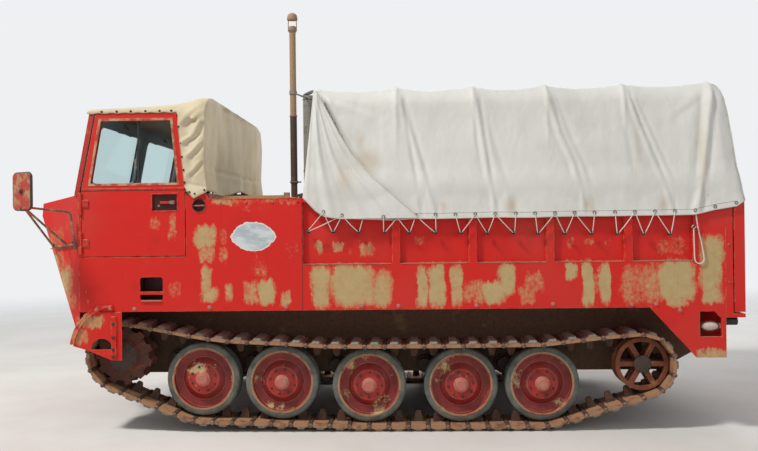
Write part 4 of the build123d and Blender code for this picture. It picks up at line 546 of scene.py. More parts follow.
# Every added piece is built up in one mesh from rods, boxes, turned shapes and sheets
class Piece:
    """A mesh under construction, with the finishes that its faces use."""

    def __init__(self, name, *finishes):
        self.name = name
        self.mesh = bmesh.new()
        self.finishes = finishes

    def loft(self, rings, finish=0, closed=True, caps=True):
        """Joins rings of points; caps close the first and the last ring."""
        rows = [[self.mesh.verts.new(p) for p in ring] for ring in rings]
        count = len(rows[0])
        for low, high in zip(rows, rows[1:]):
            for i in range(count if closed else count - 1):
                j = (i + 1) % count
                self.mesh.faces.new((low[i], low[j], high[j], high[i])).material_index = finish
        if caps and closed:
            self.mesh.faces.new(rows[0][::-1]).material_index = finish
            self.mesh.faces.new(rows[-1]).material_index = finish

    def turned(self, section, centre, axis, finish=0, sides=24, ring=False):
        """A turned shape: section is (radius, distance along the axis), and closes on itself in a ring."""
        turn = Vector(axis).to_track_quat("Z", "Y").to_matrix()
        rings = []
        for radius, along in section:
            wide = max(radius, 1e-5)
            rings.append([Vector(centre) + turn @ Vector((wide * math.cos(a), wide * math.sin(a), along))
                          for a in around(sides)[:-1]])
        self.loft(rings + rings[:1] if ring else rings, finish, caps=not ring)

    def rod(self, start, end, radius, finish=0, sides=10):
        """A straight round bar."""
        run = Vector(end) - Vector(start)
        self.turned([(radius, 0), (radius, run.length)], start, run, finish, sides)

    def bolt(self, centre, axis, radius=0.012, tall=0.008, finish=0, sides=6):
        """A bolt head on a thin washer."""
        washer = radius * 1.35
        self.turned([(washer, 0), (washer, tall * 0.25), (radius, tall * 0.25), (radius, tall * 0.85),
                     (radius * 0.8, tall)], centre, axis, finish, sides)

    def bolt_circle(self, centre, side, radius, count, size, finish, first=0.0):
        """Bolts on a circle that faces sideways; size is (radius, height) and first an angle."""
        x, y, z = centre
        for a in around(count)[:-1]:
            spot = (x + radius * math.cos(first + a), y, z + radius * math.sin(first + a))
            self.bolt(spot, (0, side, 0), *size, finish)

    def hoop(self, centre, radius, wire, finish, sides, count):
        """A level wire ring round an upright pipe."""
        x, y, z = centre
        self.tube([(x + radius * math.cos(a), y + radius * math.sin(a), z) for a in around(count)], wire,
                  finish, sides, caps=False)

    def dome(self, centre, axis, radius, tall, finish=0, sides=16):
        """A low round cap."""
        self.turned([(radius, 0), (radius * 0.94, tall * 0.45), (radius * 0.7, tall * 0.8),
                     (radius * 0.35, tall * 0.97), (0, tall)], centre, axis, finish, sides)

    def tube(self, points, radius, finish=0, sides=8, caps=True):
        """A round tube along a line of points."""
        line = [Vector(p) for p in points]
        rings = []
        up = None
        for i, spot in enumerate(line):
            way = (line[min(i + 1, len(line) - 1)] - line[max(i - 1, 0)]).normalized()
            if up is None:
                up = way.orthogonal().normalized()
            up = (up - way * up.dot(way)).normalized()
            side = way.cross(up)
            rings.append([spot + up * radius * math.cos(a) + side * radius * math.sin(a)
                          for a in around(sides)[:-1]])
        self.loft(rings, finish, caps=caps)

    def box(self, centre, size, finish=0):
        """A block along the axes, for small fittings."""
        rings = []
        for z in (-0.5, 0.5):
            rings.append([Vector(centre) + Vector((x * size[0], y * size[1], z * size[2]))
                          for x, y in ((-0.5, -0.5), (0.5, -0.5), (0.5, 0.5), (-0.5, 0.5))])
        self.loft(rings, finish)

    def slab(self, outline, start, depth, finish=0):
        """An outline of (x, z), drawn out sideways from a start by a depth."""
        self.loft([[(x, y, z) for x, z in outline] for y in (start, start + depth)], finish)

    def frame(self, outer, inner, start, depth, finish=0):
        """A flat (x, z) frame between two outlines with as many corners."""
        count = len(outer)
        for i in range(count):
            j = (i + 1) % count
            self.slab([outer[i], outer[j], inner[j], inner[i]], start, depth, finish)

    def sheet(self, rows, finish=0):
        """A grid of points as an open surface."""
        self.loft(rows, finish, closed=False, caps=False)

    def done(self, body=HULL, stands_for=(), sharp=38.0, weld=0.0):
        """Turns the mesh into an object that rides on a body."""
        if weld:
            bmesh.ops.remove_doubles(self.mesh, verts=self.mesh.verts, dist=weld)
        bmesh.ops.recalc_face_normals(self.mesh, faces=self.mesh.faces)
        data = bpy.data.meshes.new(self.name)
        self.mesh.to_mesh(data)
        self.mesh.free()
        data.polygons.foreach_set("use_smooth", [True] * len(data.polygons))
        data.set_sharp_from_angle(angle=math.radians(sharp))
        for finish in self.finishes:
            data.materials.append(finish)
        made = bpy.data.objects.new(self.name, data)
        bpy.context.scene.collection.objects.link(made)
        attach(made, body)
        if stands_for:
            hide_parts(*stands_for)
        return made


# Tracks: shoes with grousers, knuckles, pin ends and guide horns along the pins' closed line
TRACK_Y = 1.0795
SHOE_COUNT = 64
GROUND_Z = 0.364
TREAD_OUT = 0.038
# columns: a level of the guide horn, and its length and width there as shares of its foot's
HORN_LEVELS = [(0.0, 1.0, 1.0), (-0.05, 0.86, 0.9), (-0.088, 0.62, 0.55), (-0.101, 0.42, 0.3)]
# columns: each road wheel's x, rise and room to the track
WHEEL_ROWS = [(1.550, 0.060, 0.013), (0.892, 0.030, 0.006), (0.167, 0.0, 0.0), (-0.590, 0.0, 0.0),
              (-1.258, 0.006, 0.006)]
SPROCKET = (2.218, 0.625)
IDLER = (-2.070, 0.527)
SPROCKET_PITCH_R = 0.275
IDLER_PITCH_R = 0.250
UPPER_RUN = [(2.120, 0.882), (1.870, 0.837), (1.550, 0.773), (1.309, 0.743), (0.892, 0.723),
             (0.529, 0.697), (0.167, 0.692), (-0.590, 0.692), (-1.258, 0.698), (-1.560, 0.732),
             (-1.821, 0.760)]


def pin_path():
    """The closed line of the track's pins."""
    arcs = [((x, GROUND_Z + rise), GROUND_Z - TREAD_OUT + room) for x, rise, room in WHEEL_ROWS]
    lower = [(SPROCKET, SPROCKET_PITCH_R)] + arcs + [(IDLER, IDLER_PITCH_R)]
    points = list(UPPER_RUN)
    start = math.pi / 2 - 0.12
    for index in range(len(lower) - 1, -1, -1):
        centre, radius = lower[index]
        if index > 0:
            ahead, ahead_r = lower[index - 1]
            run = (ahead[0] - centre[0], ahead[1] - centre[1])
            end = math.atan2(run[1], run[0]) - math.acos((radius - ahead_r) / math.hypot(*run))
            end = end + 2 * math.pi if end < 0 else end
        else:
            end = 2 * math.pi + math.atan2(UPPER_RUN[0][1] - centre[1], UPPER_RUN[0][0] - centre[0])
        count = max(2, int(abs(end - start) / 0.1))
        for i in range(count + 1):
            turn = start + (end - start) * i / count
            points.append((centre[0] + radius * math.cos(turn), centre[1] + radius * math.sin(turn)))
        start = end
    return points


def spaced(points, count):
    """As many points, evenly spaced along a closed line."""
    closed = points + [points[0]]
    runs = [math.hypot(b[0] - a[0], b[1] - a[1]) for a, b in zip(closed, closed[1:])]
    step = sum(runs) / count
    found = []
    index = 0
    passed = 0.0
    for number in range(count):
        target = number * step
        while passed + runs[index] < target:
            passed += runs[index]
            index += 1
        share = (target - passed) / runs[index]
        found.append((lerp(closed[index][0], closed[index + 1][0], share),
                      lerp(closed[index][1], closed[index + 1][1], share)))
    return found


PINS = spaced(pin_path(), SHOE_COUNT)


def add_track(side):
    """One track, on the left for a side of 1 and on the right for -1."""
    track = Piece("track_shoes_left" if side > 0 else "track_shoes_right", SHOE_STEEL, TREAD_PAD, PIN_STEEL,
                  HORN_STEEL_SHADED)
    middle = TRACK_Y * side
    for number, start in enumerate(PINS):
        end = PINS[(number + 1) % SHOE_COUNT]
        run = (end[0] - start[0], end[1] - start[1])
        long = math.hypot(*run)
        out = (run[1] / long, -run[0] / long)

        def put(share, height, y):
            return (start[0] + run[0] * share + out[0] * height, middle + y,
                    start[1] + run[1] * share + out[1] * height)

        def prism(profile, low, high):
            track.loft([[put(s, h, y) for s, h in profile] for y in (low, high)])

        # the web: two cast plates beside the guide, with raised ends
        for low, high in ((-0.184, -0.030), (0.030, 0.184)):
            prism([(0.12, -0.012), (0.88, -0.012), (0.90, 0.010), (0.80, 0.017), (0.20, 0.017),
                   (0.10, 0.010)], low, high)
        prism([(0.16, -0.010), (0.84, -0.010), (0.84, 0.008), (0.16, 0.008)], -0.030, 0.030)
        # the grouser: a long trapezoid pad with chamfered ends
        track.loft([[put(s, h, y) for s, h in profile] for y, profile in (
            (-0.176, [(0.27, 0.014), (0.73, 0.014), (0.66, 0.026), (0.34, 0.026)]),
            (-0.160, [(0.24, 0.014), (0.76, 0.014), (0.67, 0.038), (0.33, 0.038)]),
            (0.160, [(0.24, 0.014), (0.76, 0.014), (0.67, 0.038), (0.33, 0.038)]),
            (0.176, [(0.27, 0.014), (0.73, 0.014), (0.66, 0.026), (0.34, 0.026)]))], 1)
        # knuckles, shared out between this shoe and the next
        for k in range(6):
            low = -0.186 + k * 0.062
            hold = 0.0 if k % 2 else 1.0
            track.turned([(0.0165, 0), (0.020, 0.003), (0.020, 0.055), (0.0165, 0.058)],
                         put(hold, 0, low), (0, 1, 0), 3, 12)
        # pin ends with their light centres
        for end_y, way in ((0.1865, 1), (-0.1865, -1)):
            track.turned([(0.019, 0), (0.019, 0.004), (0.0145, 0.006), (0.0145, 0.010), (0.012, 0.012),
                          (0.006, 0.012)],
                         put(0, 0, end_y), (0, way, 0), 2, 12)
        # the guide horn, which runs between the paired wheels, in darker steel as painted shade
        rings = []
        for height, long_share, wide_share in HORN_LEVELS:
            back, ahead = lerp(0.5, 0.27, long_share), lerp(0.5, 0.73, long_share)
            wide = 0.024 * wide_share
            rings.append([put(back, height, -wide), put(back, height, wide), put(ahead, height, wide),
                          put(ahead, height, -wide)])
        track.loft(rings, 3)
    track.done(stands_for=["track_left" if side > 0 else "track_right"], sharp=32)


# Road wheels: rounded tyres, rim lips, hub bolts and caps
WHEELS = [(x, GROUND_Z + rise) for x, rise, room in WHEEL_ROWS]
TYRE_IN = 0.035
TYRE_OUT = 0.089
RIM_R = 0.257
TYRE_SECTION = [(RIM_R, 0.0), (0.272, -0.001), (0.292, 0.001), (0.301, 0.006), (0.3045, 0.016),
                (0.3045, 0.038), (0.301, 0.048), (0.292, 0.053), (0.272, 0.055), (RIM_R, 0.054)]


def add_wheel_parts():
    """Tyres, and the trim of the wheels' outer and inner faces."""
    tyres = Piece("rounded_tyres", RUBBER)
    trim = Piece("wheel_trim", RIM_TAN, WHEEL_PAINT, HUB_PINK, SOOT_STEEL_AND_SHADE)
    for side in (1, -1):
        for x, z in WHEELS:
            for start in (TYRE_IN, -TYRE_OUT):
                tyres.turned(TYRE_SECTION, (x, side * (TRACK_Y + start), z), (0, side, 0), 0, 56, ring=True)
            face_y = side * (TRACK_Y + TYRE_OUT)
            trim.turned([(0.2585, -0.006), (0.2615, -0.004), (0.2625, 0.001), (0.2585, 0.003),
                         (0.2475, 0.002), (0.2445, -0.004)], (x, face_y, z), (0, side, 0), 0, 48, ring=True)
            hub_y = side * (TRACK_Y + 0.112)
            trim.turned([(0.060, -0.030), (0.060, -0.006), (0.054, 0.0), (0.030, 0.002), (0.0, 0.002)],
                        (x, hub_y, z), (0, side, 0), 2, 24)
            trim.turned([(0.046, 0.0), (0.046, 0.008), (0.041, 0.013), (0.0, 0.015)], (x, hub_y, z),
                        (0, side, 0), 2, 24)
            trim.bolt_circle((x, side * (TRACK_Y + 0.0758), z), side, 0.103, 8, (0.0085, 0.011), 3,
                             2 * math.pi * 0.35 * x / 8)
            trim.bolt_circle((x, hub_y + side * 0.012, z), side, 0.036, 5, (0.0045, 0.005), 2,
                             2 * math.pi * 0.2 * x / 5)
        x, z = IDLER
        trim.turned([(0.072, 0), (0.072, 0.010), (0.060, 0.016), (0.030, 0.020), (0, 0.020)],
                    (x, side * (TRACK_Y + 0.101), z), (0, side, 0), 3, 28)
        trim.bolt_circle((x, side * (TRACK_Y + 0.111), z), side, 0.056, 6, (0.008, 0.010), 3, 0.3)
        x, z = SPROCKET
        trim.turned([(0.118, 0), (0.118, 0.012), (0.096, 0.020), (0.050, 0.024), (0, 0.024)],
                    (x, side * (TRACK_Y + 0.112), z), (0, side, 0), 3, 32)
        trim.bolt_circle((x, side * (TRACK_Y + 0.126), z), side, 0.100, 10, (0.009, 0.011), 3)
        trim.bolt_circle((x, side * (TRACK_Y + 0.090), z), side, 0.190, 10, (0.011, 0.012), 3)
    tyres.done(stands_for=["wheel_tyres"], sharp=50)
    trim.done()


# Bolts along the hull's edges, on the sprocket guards and on the corner plates
HULL_BOLTS = [(2.067, 1.028), (1.45, 1.035), (0.823, 1.034), (0.211, 1.038), (-0.086, 1.035),
              (-0.712, 1.034), (-1.324, 1.04), (-1.949, 1.032), (-2.139, 1.033), (-2.328, 0.98),
              (-2.505, 0.659)]
COLLAR_BOLTS = [(2.371, 1.024), (2.26, 1.038), (2.459, 0.972), (2.526, 0.905)]
FLANGE_BOLTS = [(2.235, 0.912), (2.236, 0.801), (2.238, 0.703), (2.236, 0.645)]


def add_bolts():
    """Bolt heads that show in the side view, on both sides."""
    bolts = Piece("hull_bolts", HUB_PINK, SOOT_STEEL_AND_SHADE, HULL_PAINT)
    for side in (1, -1):
        for x, z in HULL_BOLTS:
            bolts.bolt((x, side * SIDE, z), (0, side, 0), 0.014, 0.010, 0)
        for x, z in COLLAR_BOLTS:
            bolts.turned([(0.026, 0), (0.024, 0.010), (0.018, 0.013)], (x, side * (SIDE + 0.010), z),
                         (0, side, 0), 2, 16)
            bolts.bolt((x, side * (SIDE + 0.022), z), (0, side, 0), 0.012, 0.010, 0)
        for x, z in FLANGE_BOLTS:
            bolts.bolt((x, side * (SIDE + 0.027), z), (0, side, 0), 0.012, 0.010, 1)
        for x, z in ((-2.70, 1.20), (-2.70, 1.50), (-2.70, 1.80)):
            bolts.bolt((x - 0.018, side * SIDE, z), (0, side, 0), 0.009, 0.007, 2)
        for x in (0.72, 0.93, 1.14, 1.35):
            bolts.bolt((x, side * SIDE, 1.886), (0, side, 0), 0.009, 0.007, 2)
    bolts.done()


# Cargo tarpaulin: one draped sheet over the bows, with end walls, a folded front corner and a hem
BOW_XS = [0.565, -0.083, -0.712, -1.308, -1.928, -2.626]
TARP_OUT = 0.035
TARP_LEAN = 0.118
TARP_CORNER_R = 0.185
TARP_APEX_Z = 2.853
TARP_SHOULDER_Z = 2.832
# columns: x and z along the hem, then up the front edge and up the rear edge
HEM_LINE = [(0.680, 1.932), (0.640, 1.895), (0.560, 1.815), (0.498, 1.775), (0.400, 1.755),
            (0.297, 1.746), (-0.079, 1.728), (-0.215, 1.738), (-2.449, 1.744), (-2.606, 1.780),
            (-2.780, 1.808), (-2.865, 1.860)]
FRONT_EDGE = [(0.699, 1.752), (0.680, 1.932), (0.588, 2.900)]
REAR_EDGE = [(-2.866, 1.752), (-2.850, 1.889), (-2.808, 2.130), (-2.780, 2.393), (-2.756, 2.579),
             (-2.732, 2.700), (-2.706, 2.780), (-2.672, 2.835), (-2.640, 2.900)]
# columns: points (x, z) of a fold, its height and width, and how deep the valleys ahead and behind it are
FOLDS = [
    ([(-0.112, 2.7), (-0.152, 2.45), (-0.208, 2.1), (-0.256, 1.8)], 0.004, 0.022, 0.0, 0.012),
    ([(-0.125, 2.68), (-0.19, 2.45), (-0.292, 2.1), (-0.376, 1.82)], 0.013, 0.026, 0.004, 0.012),
    ([(-0.735, 2.7), (-0.765, 2.45), (-0.812, 2.1), (-0.862, 1.84)], 0.013, 0.024, 0.008, 0.01),
    ([(-0.79, 2.52), (-0.85, 2.25), (-0.94, 1.98), (-0.98, 1.84)], 0.006, 0.034, 0.0, 0.007),
    ([(-1.325, 2.68), (-1.395, 2.42), (-1.5, 2.16), (-1.556, 1.95), (-1.57, 1.84)],
     0.012, 0.024, 0.009, 0.01),
    ([(-1.345, 2.7), (-1.44, 2.42), (-1.56, 2.14), (-1.62, 1.95)], 0.007, 0.03, 0.0, 0.009),
    ([(-1.968, 2.7), (-2.045, 2.45), (-2.125, 2.22), (-2.215, 1.98), (-2.262, 1.82)],
     0.011, 0.02, 0.004, 0.004),
    ([(-1.988, 2.7), (-2.07, 2.47), (-2.15, 2.26), (-2.245, 2.0), (-2.304, 1.84)], -0.013, 0.01, 0.0, 0.0),
    ([(-2.013, 2.66), (-2.095, 2.46), (-2.175, 2.26), (-2.27, 2.02)], 0.007, 0.022, 0.0, 0.006),
    ([(-1.95, 2.58), (-2.005, 2.3), (-2.055, 2.05), (-2.075, 1.86)], 0.003, 0.034, 0.007, 0.0),
    ([(-2.615, 2.76), (-2.58, 2.45), (-2.53, 2.1), (-2.465, 1.78)], 0.022, 0.034, 0.012, 0.012),
    ([(-2.47, 2.6), (-2.44, 2.4), (-2.41, 2.1), (-2.4, 1.9)], 0.004, 0.04, 0.0, 0.0),
    ([(-2.655, 2.62), (-2.68, 2.3), (-2.7, 2.05), (-2.69, 1.92)], 0.008, 0.045, 0.0, 0.006),
    ([(-2.5, 2.7), (-2.38, 2.6), (-2.29, 2.55)], 0.006, 0.026, 0.0, 0.006),
    ([(0.52, 2.74), (0.33, 2.66), (0.15, 2.6)], 0.007, 0.024, 0.0, 0.008),
    ([(0.48, 2.68), (0.4, 2.5), (0.27, 2.3), (0.11, 2.12)], 0.007, 0.03, 0.0, 0.007),
    ([(0.03, 2.62), (0.01, 2.25), (-0.03, 1.95)], 0.004, 0.045, 0.0, 0.0),
    ([(-0.47, 2.6), (-0.49, 2.2), (-0.52, 1.85)], 0.003, 0.06, 0.0, 0.0),
    ([(-1.08, 2.55), (-1.1, 2.15), (-1.12, 1.85)], 0.003, 0.06, 0.0, 0.0),
    ([(-1.74, 2.6), (-1.75, 2.2), (-1.77, 1.85)], 0.004, 0.05, 0.0, 0.0),
]
# The folded corner's open edge: x and z down the side, and how deep the cloth sinks behind it
FLAP_EDGE = [(0.565, 2.790), (0.490, 2.640), (0.385, 2.440), (0.280, 2.270), (0.130, 2.090),
             (-0.050, 1.930), (-0.215, 1.780), (-0.262, 1.740)]
SLIT = [(2.790, 0.020), (2.700, 0.058), (2.560, 0.060), (2.440, 0.042), (2.300, 0.018), (2.150, 0.006),
        (1.750, 0.0)]


def on_line(points, value, by):
    """A line's other value where it passes a value; by is 0 to look up an x and 1 to look up a z."""
    for a, b in zip(points, points[1:]):
        if min(a[by], b[by]) <= value <= max(a[by], b[by]):
            return lerp(a[1 - by], b[1 - by], (value - a[by]) / (b[by] - a[by] or 1))
    nearest = min(points, key=lambda p: abs(p[by] - value))
    return nearest[1 - by]


def side_y(z, out=TARP_OUT):
    """The tarpaulin's side at a height."""
    return 1.3115 + out - (z - 1.935) * TARP_LEAN


def section(foot_z, count):
    """Evenly spaced (y, z, normal y, normal z) from the hem up round the shoulder to the ridge."""
    foot = Vector((side_y(foot_z), foot_z))
    corner = Vector((side_y(TARP_SHOULDER_Z), TARP_SHOULDER_Z))
    apex = Vector((0.0, TARP_APEX_Z))
    up = (corner - foot).normalized()
    over = (apex - corner).normalized()
    turn = up.angle(over)
    cut = TARP_CORNER_R * math.tan(turn / 2)
    start = corner - up * cut
    centre = start + Vector((-up.y, up.x)) * TARP_CORNER_R
    line = [foot, start]
    for i in range(1, 13):
        a = turn * i / 12
        line.append(centre + Vector((math.cos(a) * up.y - math.sin(a) * -up.x,
                                     math.cos(a) * -up.x + math.sin(a) * up.y))
                    * TARP_CORNER_R)
    line.append(apex)
    runs = [(b - a).length for a, b in zip(line, line[1:])]
    total = sum(runs)
    found = []
    index = 0
    passed = 0.0
    for i in range(count + 1):
        target = min(total * i / count, total - 1e-6)
        while passed + runs[index] < target:
            passed += runs[index]
            index += 1
        way = (line[index + 1] - line[index]).normalized()
        spot = line[index] + way * (target - passed)
        found.append((spot.x, spot.y, way.y, -way.x))
    return found


def fold_height(x, z, shift=0.0):
    """How far all folds push the cloth out at a place on the side."""
    total = 0.0
    for points, height, width, ahead, behind in FOLDS:
        top, foot = points[0][1], points[-1][1]
        if not foot - 0.10 < z < top + 0.12:
            continue
        level = min(max(z, foot), top)
        slant = abs(points[0][0] - points[-1][0]) / (top - foot)
        away = (on_line(points, level, 1) + shift - x) / math.hypot(1, slant)
        if abs(away) > width * 5:
            continue
        ends = clamp((top + 0.12 - z) / 0.20) * clamp((z - foot + 0.10) / 0.16)
        ridge = math.exp(-(abs(away) / width) ** 1.5)
        total += ends * height * ridge
        total -= ends * behind * math.exp(-((away - width * 1.45) / (width * 0.75)) ** 2)
        total -= ends * ahead * math.exp(-((away + width * 1.45) / (width * 0.75)) ** 2)
    return total


def slit_depth(x, z):
    """How far the cloth sinks behind the open edge of the folded corner."""
    depth = on_line(SLIT, z, 0)
    away = (on_line(FLAP_EDGE, z, 1) - 0.012 - x) / 0.024
    return depth * math.exp(-min(away * away, 60.0)) if away > -1 else depth * math.exp(-1.0)


def sag(x):
    """How much of the full sag the cloth has at an x: 0 on a bow and 1 halfway between two."""
    for high, low in zip(BOW_XS, BOW_XS[1:]):
        if low <= x <= high:
            share = (high - x) / (high - low)
            return 1 - (2 * share - 1) ** 2
    return 0.0


def tarp_push(x, z, roof, side):
    """How far the cloth stands out from its plain section."""
    limp = lerp(0.010, 0.030, max(roof, clamp((z - 2.30) / 0.5)))
    limp *= min(1.0, max(0.25, (z - 1.75) / 0.5))
    push = -limp * sag(x)
    near = min(abs(x - bow) for bow in BOW_XS)
    push += 0.010 * math.exp(-(near / 0.020) ** 1.6) * clamp((z - 2.30) / 0.35)
    push += fold_height(x, z, 0.0 if side > 0 else 0.11) * (1 - roof)
    push += 0.006 * noise.noise(Vector((x * 2.1, side * 3.0, z * 1.5)))
    push += 0.0035 * noise.noise(Vector((x * 8, side * 5.0 + 7, z * 4)))
    push += 0.0012 * noise.noise(Vector((x * 25, side, z * 16)))
    return lerp(push, max(push, SIDE + 0.006 - side_y(z)), smooth((2.16 - z) / 0.22))


def tarp_point(share, z_foot, spot, side):
    """A point of the side or roof: share along the length, and a spot of the section."""
    y, z, out_y, out_z = spot
    front = on_line(FRONT_EDGE, z, 1)
    rear = on_line(REAR_EDGE, z, 1)
    x = lerp(front, rear, share)
    roof = clamp((out_z - 0.3) / 0.5)
    push = tarp_push(x, z, roof, side)
    if x > on_line(FLAP_EDGE, z, 1) - 0.10 and roof < 1:
        push -= slit_depth(x, z) * (1 - roof)
    edge = min(x - rear, front - x)
    if edge < 0.05:
        push -= 0.028 * (1 - edge / 0.05) ** 2
    if z < z_foot + 0.045:
        push += 0.0025
    return (x, side * (y + out_y * push), z + out_z * push)


TARP_COLUMNS = 300
TARP_ROWS = 88


def drape_tarp(tarp, trim):
    """The sheet over the bows, its rolled hem, and the sewn line along the hem's top edge, drawn dark as
    the painted shadow of the crease there.
    """
    shares = [0.018 + 0.964 * i / (TARP_COLUMNS - 6) for i in range(TARP_COLUMNS - 5)]
    shares = [0.0, 0.004, 0.010, *shares, 0.990, 0.996, 1.0]
    columns = []
    for share in shares:
        foot_x = lerp(HEM_LINE[0][0], HEM_LINE[-1][0], share)
        foot_z = on_line(HEM_LINE, foot_x, 0) + 0.007 * noise.noise(Vector((foot_x * 3, 2, 5)))
        spots = section(foot_z, TARP_ROWS)
        left = [tarp_point(share, foot_z, spot, 1) for spot in spots]
        right = [tarp_point(share, foot_z, spot, -1) for spot in spots[:-1]]
        columns.append(left + right[::-1])
    tarp.sheet(columns)
    for side_row in (0, -1):
        trim.tube([(c[side_row][0], c[side_row][1], c[side_row][2] - 0.001) for c in columns], 0.0052, 0, 6)
    # the hem's sewn top edge, in dark grey metal as the painted shadow of the crease above the hem
    for side in (1, -1):
        stitch_and_shadow_line = []
        for column in columns[6:-6]:
            x, _, foot_z = column[0]
            z = foot_z + 0.040
            stitch_and_shadow_line.append((x, side * (side_y(z) + tarp_push(x, z, 0.0, side) + 0.0005), z))
        trim.tube(stitch_and_shadow_line, 0.0018, 1, 5)


def hang_end_walls(tarp, trim):
    """The front wall and the rear wall, each a slack sheet inside the section."""
    for edge_line, way, foot in ((FRONT_EDGE, 1, 1.908), (REAR_EDGE, -1, 1.889)):
        half = side_y(foot) - 0.012
        top = section(foot, 60)
        top_line = [(p[0], p[1]) for p in top]
        grid = []
        for i in range(97):
            y = -half + 2 * half * i / 96
            high = on_line(top_line[::-1], abs(y), 0) - 0.010
            column = []
            for j in range(41):
                z = lerp(foot, max(high, foot + 0.002), j / 40)
                push = 0.012 * noise.noise(Vector((y * 1.6, z * 0.9, way * 4)))
                push += 0.006 * noise.noise(Vector((y * 7, z * 2, way)))
                wave = math.sin(y * 9 + 1.5 * noise.noise(Vector((y, z * 2, 3))))
                push += 0.010 * wave * (1 - j / 40) ** 1.5
                push *= min(1.0, (half - abs(y)) / 0.12)
                rim = 0.020 * (1 - min(1.0, (half - abs(y)) / 0.05)) ** 2
                column.append((on_line(edge_line, z, 1) - way * (0.010 + rim) + way * push * 0.8, y, z))
            grid.append(column)
        tarp.sheet(grid)
        trim.tube([c[0] for c in grid], 0.0052, 0, 6)


def fold_corner(tarp, trim, side):
    """The front corner: a flap that wraps round onto the side and narrows upwards."""
    rows = []
    for j in range(73):
        down = j / 72
        z = lerp(FLAP_EDGE[0][1], FLAP_EDGE[-1][1] + 0.004, down)
        back = on_line(FLAP_EDGE, z, 1)
        row = []
        for i in range(41):
            share = i / 40
            foot_z = on_line(HEM_LINE, max(min(lerp(0.68, back, share), 0.68), -2.85), 0) - 0.012
            z_here = max(z, foot_z + 0.006 * math.sin(share * 3.1))
            ahead = on_line(FRONT_EDGE, z_here, 1) - 0.002
            x = lerp(ahead, max(back, -0.262), share)
            wide = min(1.0, (ahead - back) / 0.5)
            lift = 0.004 + 0.014 * min(1.0, wide * 2) * min(1.0, share * 4)
            fan = 0.0085 * math.sin(share * 24 + 1.0) * wide * min(1.0, (1 - share) * 5)
            fan += 0.004 * math.sin(share * 47 + 2.0 * down) * wide * min(1.0, (1 - share) * 5)
            push = tarp_push(x, z_here, 0.0, side) + lift + fan
            if share < 0.06:
                push -= 0.022 * (1 - share / 0.06) ** 2
            row.append((x, side * (side_y(z_here) + push), z_here))
        rows.append(row)
    tarp.sheet(rows)
    trim.tube([row[-1] for row in rows], 0.0042, 0, 6)
    trim.tube(rows[-1], 0.0050, 0, 6)


def set_eyelets(trim, side):
    """Metal eyelets along one side's hem."""
    for x, z in EYELETS:
        y = side * (side_y(z) + tarp_push(x, z, 0, side) + (0.016 if x > -0.1 else 0.004))
        trim.turned([(0.0075, 0), (0.0075, 0.002), (0.011, 0.0035), (0.0145, 0.0025), (0.0150, 0.0)],
                    (x, y, z), (0, side, 0), 1, 16, ring=True)


def add_tarp():
    """The tarpaulin with its hem, eyelets and front corner folds."""
    tarp = Piece("tarpaulin", TARP_CLOTH)
    trim = Piece("tarp_trim", HEM_CLOTH, GALVANISED_AND_SHADOW)
    drape_tarp(tarp, trim)
    hang_end_walls(tarp, trim)
    for side in (1, -1):
        fold_corner(tarp, trim, side)
        set_eyelets(trim, side)
    cloth_piece = tarp.done(stands_for=["cargo_tarp"], sharp=60, weld=0.0004)
    trim_piece = trim.done()


# columns: x and z of the eyelets, front to rear, and of the hooks below them
EYELETS = [(0.508, 1.800), (0.360, 1.770), (0.187, 1.762), (0.027, 1.754), (-0.084, 1.750),
           (-0.232, 1.764), (-0.391, 1.768), (-0.550, 1.768), (-0.709, 1.768), (-0.867, 1.768),
           (-1.032, 1.770), (-1.184, 1.769), (-1.342, 1.768), (-1.498, 1.770), (-1.657, 1.770),
           (-1.817, 1.771), (-1.974, 1.771), (-2.132, 1.772), (-2.289, 1.773), (-2.448, 1.776),
           (-2.606, 1.804), (-2.771, 1.832)]
HOOK_XS = [0.636, 0.435, 0.230, 0.019, -0.180, -0.387, -0.594, -0.802, -1.013, -1.210, -1.420, -1.630,
           -1.838, -2.045, -2.250]


def hook_height(number):
    """The height of a lacing hook, counted from the front; the row falls a little towards the rear."""
    return 1.642 - 0.0105 * number / 3


def lacing_line(side):
    """The lacing's turns: down to each hook and up to the two eyelets nearest to it."""
    line = []
    for number, x in enumerate(HOOK_XS):
        z = hook_height(number)
        near = sorted(EYELETS, key=lambda e: abs(e[0] - x))[:2]
        near.sort(key=lambda e: -e[0])
        for eye_number, (eye_x, eye_z) in enumerate(near):
            y = side_y(eye_z) + tarp_push(eye_x, eye_z, 0, side) + (0.020 if eye_x > -0.1 else 0.008)
            line.append((eye_x, y, eye_z))
            if eye_number == 0:
                line += [(x + 0.007, SIDE + 0.028, z + 0.004), (x, SIDE + 0.029, z - 0.002),
                         (x - 0.007, SIDE + 0.028, z + 0.004)]
    kept = [line[0]]
    for spot in line[1:]:
        if math.dist(spot, kept[-1]) > 0.004:
            kept.append(spot)
    return kept


